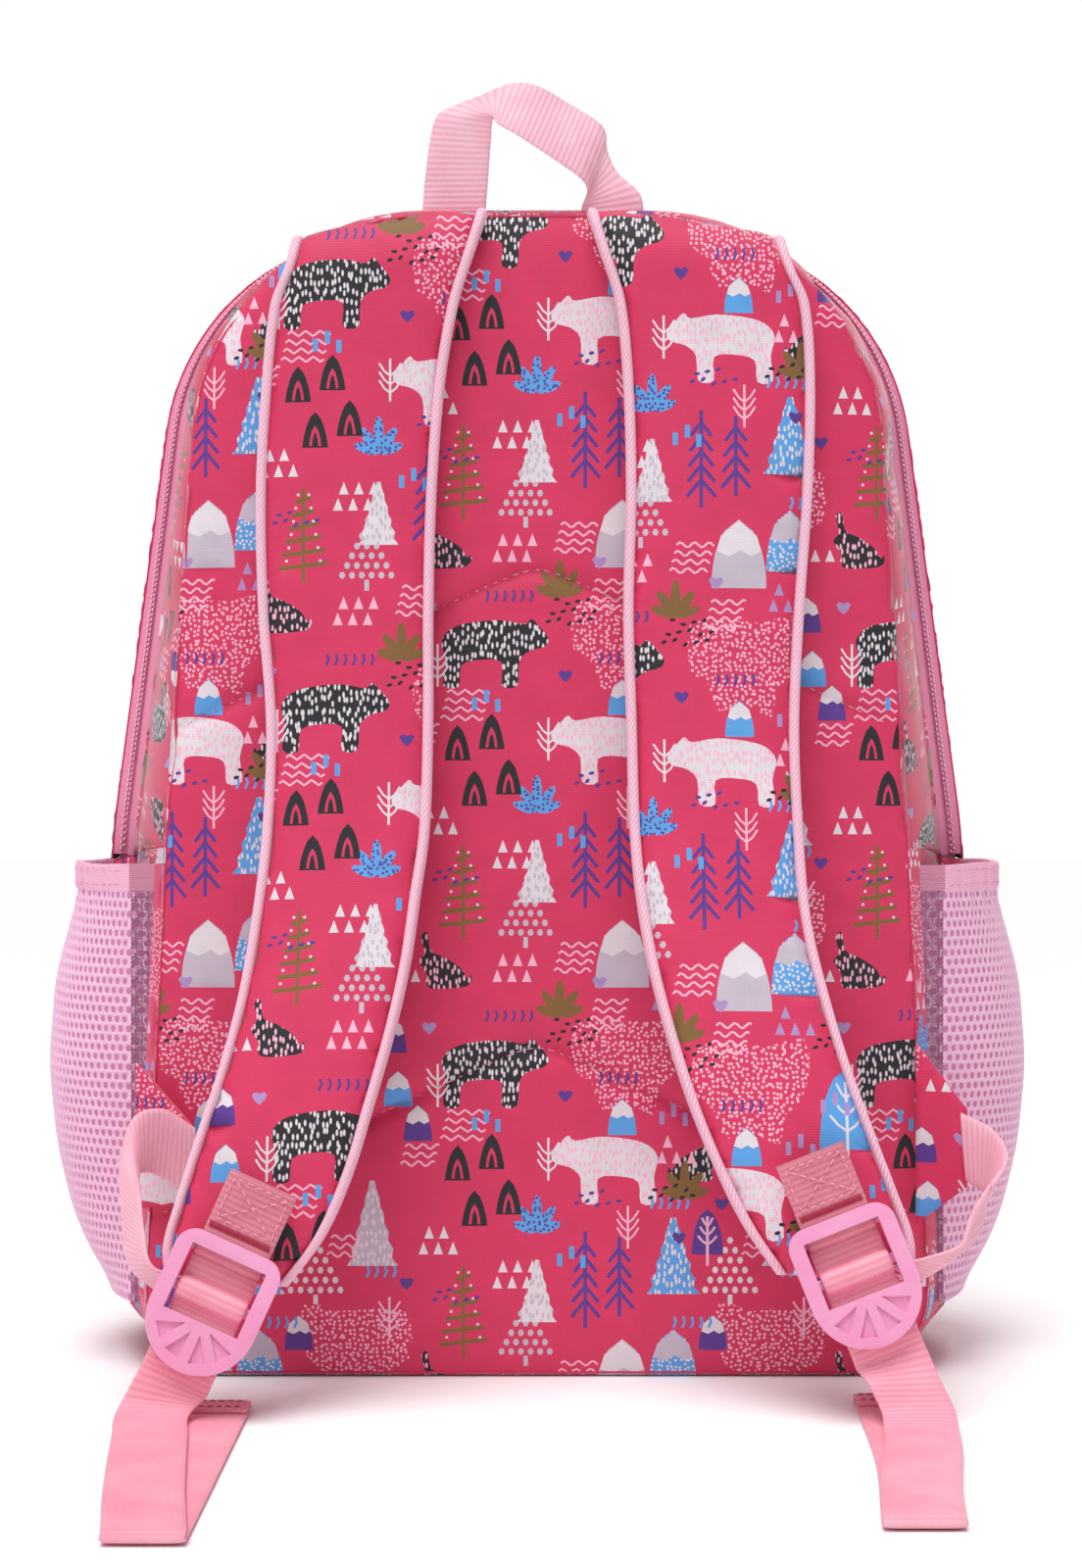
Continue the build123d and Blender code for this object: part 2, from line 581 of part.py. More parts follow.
def harness():
    """Both shoulder straps with their buckles, webbing and wings."""
    routes = {
        "left": (LEFT_STRAP, LEFT_ADJUSTER, LEFT_TAIL),
        "right": (RIGHT_STRAP, RIGHT_ADJUSTER, RIGHT_TAIL),
    }
    for side in SIDES:
        stations, adjuster, tail = routes[side]
        shoulder_strap(side, stations)
        save(f"buckle_loop_{side}", buckle_loop(side))
        save(f"ladder_lock_{side}", ladder_lock(side))
        save(f"strap_wing_{side}", wing(side))
        save(f"adjuster_webbing_{side}", band(adjuster, WEBBING_THICK))
        save(f"webbing_tail_{side}", webbing_tail(side, tail))


# ---------------------------------------------------------------- the whole bag
outer_bag, bag_wall, bag_lining = bag_shells()
back_panel()
gusset(bag_wall)
main_zip(bag_wall)
linings(bag_lining)
front_panels()
main_sliders()
front_pocket()
side_pockets(outer_bag)
haul_loop()
harness()
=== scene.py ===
"""A child's school backpack seen from its strap side, standing on a pale floor.

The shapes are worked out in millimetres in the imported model's own frame, +Z up, and turned to metres
as each mesh is made. The sections follow the bag as it is sewn together.
"""
import math

import bmesh
import bpy
import numpy as np
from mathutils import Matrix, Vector
from mathutils.geometry import delaunay_2d_cdt


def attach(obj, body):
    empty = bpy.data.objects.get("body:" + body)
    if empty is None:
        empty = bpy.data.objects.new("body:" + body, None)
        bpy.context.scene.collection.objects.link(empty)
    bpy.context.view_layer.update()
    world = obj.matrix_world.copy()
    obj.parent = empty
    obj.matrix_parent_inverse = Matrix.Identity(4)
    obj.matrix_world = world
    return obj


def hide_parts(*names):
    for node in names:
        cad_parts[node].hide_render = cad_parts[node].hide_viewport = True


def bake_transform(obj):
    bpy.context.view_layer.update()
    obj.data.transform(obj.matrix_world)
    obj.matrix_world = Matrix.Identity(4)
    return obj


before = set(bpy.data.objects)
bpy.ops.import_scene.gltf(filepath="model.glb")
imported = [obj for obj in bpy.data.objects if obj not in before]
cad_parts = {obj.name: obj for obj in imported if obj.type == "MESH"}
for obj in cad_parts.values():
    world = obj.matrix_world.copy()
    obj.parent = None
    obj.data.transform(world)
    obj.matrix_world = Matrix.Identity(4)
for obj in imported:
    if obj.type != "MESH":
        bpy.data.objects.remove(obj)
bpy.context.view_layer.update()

# ------------------------------------------------------------------ camera, floor and light
# The camera stands level with the middle of the bag, square on to its back panel. The floor is matt
# white paint, and the light is a soft ceiling, with one lamp in front and one behind.
MM = 0.001
PANEL_DEPTH = -0.0625
VIEW_DISTANCE = 0.95
VIEW_HEIGHT = 0.552
VIEW_CENTRE = (0.0014, 0.2097)
EYE_HEIGHT = 0.212
SENSOR = 36.0


def linear(code):
    """The linear RGB of an sRGB hex colour, as a tuple with alpha 1."""
    share = np.array([int(code[i:i + 2], 16) / 255 for i in (1, 3, 5)])
    low = share / 12.92
    high = ((share + 0.055) / 1.055) ** 2.4
    return (*np.where(share <= 0.04045, low, high).tolist(), 1.0)


def add_node(tree, kind, settings=None, links=None):
    """A node with its settings, whose inputs, by number or name, get a value or another node's socket."""
    node = tree.nodes.new("ShaderNode" + kind)
    for key, value in (settings or {}).items():
        setattr(node, key, value)
    for key, value in (links or {}).items():
        if isinstance(value, bpy.types.NodeSocket):
            tree.links.new(value, node.inputs[key])
        else:
            node.inputs[key].default_value = value
    return node


def new_material(name, colour, roughness, settings=None):
    """A material with one Principled shader; returns it with its node tree and the shader."""
    material = bpy.data.materials.new(name)
    material.use_nodes = True
    shader = material.node_tree.nodes["Principled BSDF"]
    shader.inputs["Base Color"].default_value = linear(colour)
    shader.inputs["Roughness"].default_value = roughness
    for key, value in (settings or {}).items():
        shader.inputs[key].default_value = value
    return material, material.node_tree, shader


def mesh_object(name, points, faces, material, uv=None):
    """A smooth-shaded object from points in mm and lists of faces, with a UV pair per point if given."""
    mesh = bpy.data.meshes.new(name)
    faces = faces.tolist() if isinstance(faces, np.ndarray) else faces
    mesh.from_pydata((np.asarray(points, float) * MM).tolist(), [], faces)
    mesh.materials.append(material)
    if uv is not None:
        corners = np.empty(len(mesh.loops), np.int32)
        mesh.loops.foreach_get("vertex_index", corners)
        layer = mesh.uv_layers.new(name="cloth")
        layer.data.foreach_set("uv", np.asarray(uv, np.float32)[corners].ravel())
    mesh.polygons.foreach_set("use_smooth", np.ones(len(mesh.polygons), bool))
    mesh.update()
    piece = bpy.data.objects.new(name, mesh)
    bpy.context.scene.collection.objects.link(piece)
    return piece


def paint(node, material):
    """Gives a CAD part its material."""
    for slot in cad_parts[node].material_slots:
        slot.material = material


camera_data = bpy.data.cameras.new("camera")
camera_data.sensor_fit = "VERTICAL"
camera_data.sensor_height = SENSOR
camera_data.lens = SENSOR * VIEW_DISTANCE / VIEW_HEIGHT
camera_data.shift_y = (VIEW_CENTRE[1] - EYE_HEIGHT) / VIEW_HEIGHT
camera = bpy.data.objects.new("camera", camera_data)
bpy.context.scene.collection.objects.link(camera)
camera.location = (VIEW_CENTRE[0], PANEL_DEPTH - VIEW_DISTANCE, EYE_HEIGHT)
camera.rotation_euler = (math.radians(90), 0, 0)
bpy.context.scene.camera = camera
bpy.context.scene.view_settings.view_transform = "Standard"

# Matt white paint: no gloss at all, only the bag's soft shadow
floor_paint, _, _ = new_material("matt_white_paint", "#fdfdfd", 0.9)
FLOOR_HALF = 6000.0
corners = np.array([(-1, -1), (1, -1), (1, 1), (-1, 1)]) * FLOOR_HALF
floor = mesh_object("floor", np.column_stack([corners, np.zeros(4)]), [(0, 1, 2, 3)], floor_paint)

# A white room: the camera sees it plain white, and it lights the bag at a third of that
world = bpy.data.worlds.new("white_room")
world.use_nodes = True
backdrop = world.node_tree.nodes["Background"]
seen = add_node(world.node_tree, "LightPath").outputs["Is Camera Ray"]
strength = add_node(world.node_tree, "MapRange", None,
                    {"Value": seen, "To Min": 0.3, "To Max": 1.0}).outputs[0]
backdrop.inputs["Color"].default_value = linear("#ffffff")
world.node_tree.links.new(strength, backdrop.inputs["Strength"])
bpy.context.scene.world = world
LAMPS = (
    ("ceiling_lamp", "SUN", (-0.15, -0.25, 1.22), 2.45, math.radians(40)),
    ("front_lamp", "AREA", (-0.3, -1.1, 0.95), 2.2, 0.9),
    ("back_lamp", "AREA", (0.4, 1.2, 0.95), 8.0, 0.9),
)
AIM = Vector((0, 0, 0.22))
for name, kind, place, power, size in LAMPS:
    lamp_data = bpy.data.lights.new(name, kind)
    lamp_data.energy = power
    setattr(lamp_data, "angle" if kind == "SUN" else "size", size)
    lamp = bpy.data.objects.new(name, lamp_data)
    bpy.context.scene.collection.objects.link(lamp)
    lamp.location = place
    lamp.rotation_euler = (AIM - lamp.location).to_track_quat("-Z", "Y").to_euler()

# ------------------------------------------------------------------ back panel
# The bag's padded back: printed polyester over foam, quilted along two shallow arrowheads and sewn
# into the gusset all round. The cloth is plain woven, dyed pink and screen printed with a woodland
# of small flat shapes, whose outlines are cut into the mesh so that they stay sharp.
BACK_OUTLINE = (141.0, 132.5, 118.0, 412.0)
REAR_ZIP_OUTLINE = (154.0, 149.0, 121.5, 416.0)
FRONT_ZIP_OUTLINE = (159.0, 160.5, 130.0, 416.0)
FRONT_OUTLINE = (145.0, 140.0, 112.0, 405.0)
MIDDLE_Z = 188.0
CORNER_RADII = np.array([30.0, 200.0, 85.0, 85.0, 200.0, 30.0])
ARC_STEPS = 16
RUN_STEPS = 24


def bag_outline(sizes, inset=0.0):
    """Closed outline (x, z), from the right foot corner up and round. A trapezoid that swells at mid
    height: each corner's arc starts radius / tan(half the corner's angle) before it, and each straight
    run is cut into equal steps, so that the same index means the same place on every outline."""
    foot, middle, top, height = sizes
    right = np.array([(foot, 0.0), (middle, MIDDLE_Z), (top, height)])
    corner = np.concatenate([right, right[::-1] * (-1, 1)])
    back = np.roll(corner, 1, axis=0) - corner
    ahead = np.roll(corner, -1, axis=0) - corner
    back /= np.linalg.norm(back, axis=1)[:, None]
    ahead /= np.linalg.norm(ahead, axis=1)[:, None]
    half = np.arccos((back * ahead).sum(axis=1)) / 2
    reach = (CORNER_RADII / np.tan(half))[:, None]
    towards = back + ahead
    towards *= (CORNER_RADII / np.sin(half) / np.linalg.norm(towards, axis=1))[:, None]
    centre = corner + towards
    first, last = corner + back * reach - centre, corner + ahead * reach - centre
    turn = (math.pi - 2 * half)[:, None, None]
    share = np.linspace(0, 1, ARC_STEPS)[None, :, None]
    arcs = np.sin((1 - share) * turn) * first[:, None] + np.sin(share * turn) * last[:, None]
    arcs = centre[:, None] + arcs / np.sin(turn)
    step = (np.arange(1, RUN_STEPS) / RUN_STEPS)[None, :, None]
    runs = arcs[:, -1:] * (1 - step) + np.roll(arcs[:, :1], -1, axis=0) * step
    loop = np.concatenate([arcs, runs], axis=1).reshape(-1, 2)
    slope = np.roll(loop, -1, axis=0) - np.roll(loop, 1, axis=0)
    normal = np.stack([slope[:, 1], -slope[:, 0]], axis=1) / np.linalg.norm(slope, axis=1)[:, None]
    return loop - normal * inset


def edge_distance(points, loop):
    """Distance from each point to the nearest side of a closed loop."""
    ahead = np.roll(loop, -1, axis=0) - loop
    offset = points[:, None] - loop[None]
    share = np.clip((offset * ahead).sum(axis=2) / (ahead ** 2).sum(axis=1), 0, 1)
    return np.linalg.norm(offset - share[..., None] * ahead, axis=2).min(axis=1)


def inside(points, loop):
    """Which points lie within a closed loop: an odd number of its sides lies to their right."""
    x, y = points[:, :1], points[:, 1:]
    x0, y0 = loop[:, 0], loop[:, 1]
    x1, y1 = np.roll(x0, -1), np.roll(y0, -1)
    rise = np.where(y1 == y0, 1e-9, y1 - y0)
    crosses = ((y0 > y) != (y1 > y)) & (x < x0 + (y - y0) * (x1 - x0) / rise)
    return crosses.sum(axis=1) % 2 == 1


PINK = linear("#d9305f")
WHITE = linear("#e6dde4")
GREY = linear("#c9bccb")
BLUE = linear("#5aa3e6")
PURPLE = linear("#5b3591")
BLACK = linear("#1d1b22")
BROWN = linear("#84602f")
BLUSH = linear("#f9b9d2")
LILAC = linear("#b08fc6")
REPEAT = np.array([146.0, 148.0])
DOTS, DASHES = 0.0, 1.0


def smooth_loop(points, steps=4):
    """Catmull-Rom curve through a closed list of points: a cubic between each pair whose slopes are half
    the chord of its neighbours."""
    p = np.asarray(points, float)
    t = (np.arange(steps) / steps)[None, :, None]
    a, b, c, d = (np.roll(p, shift, axis=0)[:, None, :] for shift in (1, 0, -1, -2))
    curve = b + 0.5 * t * (c - a + t * (2 * a - 5 * b + 4 * c - d + t * (3 * (b - c) + d - a)))
    return curve.reshape(-1, 2)


def stroke(points, width):
    """Outline of a line of one width through points: the points moved to each side along the normal."""
    p = np.asarray(points, float)
    slope = np.gradient(p, axis=0)
    normal = np.stack([-slope[:, 1], slope[:, 0]], axis=1) / np.linalg.norm(slope, axis=1)[:, None]
    return np.concatenate([p + normal * width / 2, (p - normal * width / 2)[::-1]])


def oval(x, y, wide, high, turn=0.0, count=8):
    """Ellipse outline about a point, turned by an angle in degrees."""
    angle = 2 * math.pi * np.arange(count) / count
    local = np.stack([wide / 2 * np.cos(angle), high / 2 * np.sin(angle)], axis=1)
    c, s = math.cos(math.radians(turn)), math.sin(math.radians(turn))
    return local @ np.array([[c, s], [-s, c]]) + (x, y)


def arch(wide, high, power=2.0, count=9):
    """Flat-footed arch: the half width falls as (1 - height share ^ power) ^ 0.6."""
    share = np.linspace(0, 1, count)
    x = wide / 2 * (1 - share ** power) ** 0.6
    right = np.stack([x, share * high], axis=1)
    left = np.stack([-x[:-1], share[:-1] * high], axis=1)[::-1]
    return np.concatenate([right, left])


def beast(ink, speckle):
    """A plain four-legged animal, 38 mm long, of one ink with dashes of another."""
    body = [(19, 7), (15.5, 11.5), (13, 13.8), (10.5, 12), (2, 13.4), (-8, 12.6), (-15, 10.5), (-18.6, 6),
            (-17.2, -1), (-18, -9.5), (-12.6, -10), (-11.6, -2.5), (-5, -0.6), (2.5, -1.4), (2.6, -9.6),
            (8, -9.6), (8.8, -1), (12.5, 2.6), (17.5, 4)]
    return [(smooth_loop(body, 3), ink, speckle, DASHES)]


def hare(ink, speckle):
    """A sitting hare with long ears, 17 mm high."""
    body = [(7.6, 3.2), (5.6, 6.2), (6.8, 12), (4.6, 13.4), (3.4, 7), (-1.5, 4.6), (-7, 1), (-9.4, -2.6),
            (-10.6, -1.4), (-10.8, -3.8), (-8, -5.8), (3.8, -6.2), (4.6, -1.6)]
    return [(smooth_loop(body, 3), ink, speckle, DASHES)]


def leafy(ink, vein, wide=19, high=27):
    """A tall arched tree with a trunk and three pairs of branches."""
    layers = [(arch(wide, high), ink, ink, DOTS),
              (stroke([(0, -4), (0, high * 0.42), (0, high * 0.84)], 1.0), vein, vein, DOTS)]
    for level in (0.22, 0.42, 0.62):
        reach = wide * 0.33 * (1.15 - level)
        for side in (-1, 1):
            points = [(0, high * level), (side * reach * 0.5, high * (level + 0.07)),
                      (side * reach, high * (level + 0.19))]
            layers.append((stroke(points, 0.8), vein, vein, DOTS))
    return layers


def spruce(ink, high=34, pairs=5, reach=5.0, width=1.3):
    """A stem with arrow-shaped branches."""
    layers = [(stroke([(0, 0), (0, high / 2), (0, high)], width), ink, ink, DOTS)]
    for i in range(pairs):
        y = high * (0.14 + 0.78 * i / pairs)
        drop = reach * (1 - 0.35 * i / pairs)
        for side in (-1, 1):
            layers.append((stroke([(0, y + drop), (side * drop * 0.5, y + drop * 0.4), (side * drop, y - 1)],
                                  width), ink, ink, DOTS))
    return layers


def beaded(ink, rows=6, pitch=3.5):
    """A tree made of rows of beads on a short trunk."""
    layers = []
    for row in range(rows):
        for i in range(row + 1):
            layers.append((oval((i - row / 2) * pitch, (rows - row) * pitch, 2.2, 2.6, 0, 6), ink, ink,
                           DOTS))
    layers.append((stroke([(0, -2), (0, 0), (0, 1.8)], 1.6), ink, ink, DOTS))
    return layers


def pine(ink, dots):
    """A rough pine of level strokes with dots between them."""
    layers = [(stroke([(0, -3), (0, 12), (0, 30)], 1.2), ink, ink, DOTS)]
    for i in range(6):
        reach = 8.4 - 1.15 * i
        y = 2 + 4.6 * i
        layers.append((stroke([(-reach, y), (0, y + 0.8), (reach, y + 1.8)], 1.5), ink, ink, DOTS))
        for side in (-0.7, 0.7):
            layers.append((oval(side * reach, y + 2.6, 1.1, 1.1, 0, 6), dots, dots, DOTS))
    return layers


def fir(ink, speckle, wide=17, high=31, teeth=5):
    """A tall fir with a saw edge, covered in dashes."""
    share = np.linspace(0, 1, 2 * teeth + 1)
    out = wide / 2 * (1 - share * 0.9) * np.where(np.arange(2 * teeth + 1) % 2 == 0, 1.0, 0.84)
    right = np.stack([out, share * high], axis=1)
    left = np.stack([-out, share * high], axis=1)[::-1]
    return [(np.concatenate([right, left]), ink, speckle, DASHES)]


def tent(ink, line):
    """A steep rounded peak with a smaller one drawn inside it."""
    inner = arch(4.2, 7.2, 1.4, 5) + (0, 0.6)
    core = arch(2.2, 5.0, 1.4, 5) + (0, 0.6)
    return [(arch(9, 12.5, 1.4, 7), ink, ink, DOTS), (inner, line, line, DOTS), (core, ink, ink, DOTS)]


def snowy(ink, snow, size=1.0, speckle=None):
    """A rounded hill with a snow cap, 12.6 mm high at size 1."""
    cap = [(4.1, 6.8), (2.2, 5.9), (0.4, 7.0), (-1.8, 5.8), (-4.1, 6.8), (-3.3, 9.6), (0, 12.4), (3.3, 9.6)]
    return [(size * arch(10, 12.6, 2.2, 7), ink, speckle or ink, DOTS),
            (size * np.array(cap), snow, snow, DOTS)]


def patch(speckle):
    """An uneven patch of fine dots, 38 mm across."""
    edge = [(-19, 13), (-8, 15), (6, 14), (18, 17), (19.5, 4), (15, -6), (11, -9), (9, -19), (1, -15),
            (-9, -17),
            (-13, -7), (-19, -3)]
    return [(smooth_loop(edge, 2), PINK, speckle, DOTS)]


def triangles(ink, count=5, size=3.4):
    """A loose group of small triangles."""
    base = np.array([(-0.5, 0), (0.5, 0), (0, 1.3)]) * size
    return [(base + (5.2 * (i % 3) + 2.0 * (i // 3), 5.6 * (i // 3)), ink, ink, DOTS) for i in range(count)]


def heart(ink):
    """A small heart: the sine-cubed curve."""
    t = 2 * math.pi * np.arange(12) / 12
    x = 2.6 * np.sin(t) ** 3
    y = 2.1 * np.cos(t) - 0.8 * np.cos(2 * t) - 0.35 * np.cos(3 * t)
    return [(np.stack([x, y], axis=1), ink, ink, DOTS)]


def ticks(ink, count=5):
    """A row of short leaning ticks."""
    return [(stroke([(3.1 * i, 0), (3.1 * i + 0.9, 2), (3.1 * i + 0.4, 4)], 0.9), ink, ink, DOTS)
            for i in range(count)]


def waves(ink, count=4, length=15):
    """Level wavy lines, one above another."""
    x = np.linspace(0, length, 13)
    return [(stroke(np.stack([x + 0.8 * k, 3.0 * k + 0.9 * np.sin(x * 1.25)], axis=1), 0.75), ink, ink, DOTS)
            for k in range(count)]


def bricks(ink):
    """Three small upright oblongs."""
    box = np.array([(-0.9, -2.2), (0.9, -2.2), (0.9, 2.2), (-0.9, 2.2)])
    return [(box + place, ink, ink, DOTS) for place in ((0, 0), (4.2, 2.6), (8.2, -0.6))]


def pebbles(ink, count=14):
    """A drift of short dark dashes in three staggered rows."""
    return [(oval(3.7 * (i % 5) + 1.5 * (i // 5), 3.5 * (i // 5) + 0.9 * math.sin(2.1 * i), 2.3, 1.3,
                  20 + 25 * math.sin(i), 6),
             ink, ink, DOTS) for i in range(count)]


def shrub(ink, dots):
    """Five fat leaves from one root."""
    layers = []
    for turn, long in ((20, 9), (55, 11), (90, 13), (125, 11), (160, 9)):
        c, s = math.cos(math.radians(turn)), math.sin(math.radians(turn))
        layers.append((oval(c * long / 2, s * long / 2, long, 3.6, turn, 10), ink, dots, DOTS))
    return layers


def twig(ink):
    """A bare stem with paired side twigs."""
    layers = [(stroke([(0, 0), (0, 7), (0, 15)], 0.8), ink, ink, DOTS)]
    for y in (3, 6, 9):
        for side in (-1, 1):
            layers.append((stroke([(0, y), (side * 2, y + 1.6), (side * 3.8, y + 4.4)], 0.7), ink, ink,
                           DOTS))
    return layers


# One repeat of the print: the shape's layers and where its root goes, in mm across and up
LAYOUT = [
    (beast(BLACK, WHITE), 25, 118, 1), (patch(BLUSH), 72, 124, 1), (leafy(BLUE, WHITE), 104, 104, 1),
    (leafy(PURPLE, BLUSH, 11, 16), 120, 101, 1), (snowy(PURPLE, WHITE), 135, 127, 1),
    (snowy(BLUE, WHITE), 137, 108, 1),
    (beast(WHITE, BLUSH), 64, 84, -1), (shrub(BLUE, PURPLE), 40, 64, 1), (hare(BLACK, WHITE), 97, 88, 1),
    (tent(BLACK, PINK), 12, 82, 1), (tent(BLACK, PINK), 24, 86, 1), (tent(BLACK, PINK), 18, 66, 1),
    (tent(BLACK, PINK), 30, 70, 1), (fir(GREY, WHITE, 18, 30), 128, 52, 1), (spruce(PURPLE), 57, 30, 1),
    (spruce(PURPLE, 28, 4), 69, 34, 1), (fir(BLUE, WHITE, 19, 27), 88, 42, 1), (beaded(WHITE), 108, 40, 1),
    (pine(BROWN, WHITE), 14, 22, 1), (beaded(GREY, 6, 3.4), 36, 18, 1), (patch(BLUSH), 122, 22, -1),
    (snowy(GREY, WHITE, 1.9), 70, 2, 1), (snowy(BLUE, GREY, 1.7, WHITE), 88, 8, 1),
    (heart(PURPLE), 50, 112, 1), (heart(PURPLE), 105, 74, 1),
    (waves(BLUSH), 6, 97, 1), (waves(BLUSH, 3, 12), 138, 88, 1), (pebbles(BLACK), 44, 131, 1),
    (pebbles(BLACK, 11), 94, 138, 1), (ticks(BLUE), 80, 72, 1), (ticks(PURPLE, 6), 22, 138, 1),
    (ticks(BLUSH), 100, 0, 1), (bricks(BLUE), 112, 90, 1), (bricks(BLUE), 48, 54, 1),
    (triangles(BLUSH), 110, 142, 1),
    (triangles(WHITE, 5), 0, 56, 1), (triangles(BLUSH, 6), 26, 4, 1), (shrub(BROWN, BROWN), 92, 76, 1),
    (shrub(BROWN, BROWN), 48, 140, 1), (twig(WHITE), 5, 108, 1), (twig(BLUSH), 72, 58, 1),
    (snowy(PURPLE, WHITE), 102, 22, 1), (waves(BLUSH, 4, 13), 46, 8, 1), (heart(PURPLE), 140, 46, 1),
    (pebbles(PURPLE, 8), 54, 74, 1), (triangles(WHITE, 3), 138, 4, 1), (ticks(BLUE, 4), 126, 48, 1),
    (hare(BLACK, BLUSH), 6, 8, -1), (bricks(LILAC), 84, 104, 1), (triangles(LILAC, 4), 82, 142, 1),
    (heart(LILAC), 2, 136, 1), (heart(PURPLE), 90, 62, 1), (triangles(LILAC, 5), 118, 124, 1),
    (twig(WHITE), 44, 82, 1), (bricks(BLUE), 18, 102, 1), (ticks(PURPLE, 5), 62, 116, 1),
    (waves(BLUSH, 3, 11), 112, 56, 1), (pebbles(BLACK, 9), 80, 76, 1), (shrub(BLUE, PURPLE), 112, 128, 1),
    (triangles(WHITE, 6), 26, 44, 1), (snowy(BLUE, WHITE), 70, 98, 1), (fir(WHITE, GREY, 14, 22), 40, 32, 1),
    (ticks(BLUE, 5), 88, 30, 1), (heart(LILAC), 62, 4, 1), (bricks(LILAC), 96, 118, 1),
    (twig(BLUSH), 134, 26, 1), (triangles(BLUSH, 4), 84, 88, 1), (pebbles(PURPLE, 7), 4, 40, 1),
    (snowy(PURPLE, WHITE), 144, 96, 1), (leafy(PURPLE, BLUSH, 11, 16), 100, 56, 1),
    (waves(BLUSH, 4, 12), 58, 136, 1),
]


def print_shapes(low, high, offset):
    """Every layer of the print that reaches into a box of the cloth, in the order of printing."""
    found = []
    first = np.floor((low + offset) / REPEAT).astype(int) - 1
    last = np.floor((high + offset) / REPEAT).astype(int) + 1
    for column in range(first[0], last[0] + 1):
        for row in range(first[1], last[1] + 1):
            for layers, x, y, flip in LAYOUT:
                root = np.array([x, y]) + REPEAT * (column, row) - offset
                for loop, ink, second, pattern in layers:
                    placed = loop * (flip, 1) + root
                    if (placed.max(axis=0) > low).all() and (placed.min(axis=0) < high).all():
                        found.append((placed, ink, second, pattern))
    return found


def loop_links(count, start):
    """The sides of a closed loop, as pairs of point numbers."""
    index = np.arange(count)
    return np.stack([index, (index + 1) % count], axis=1) + start


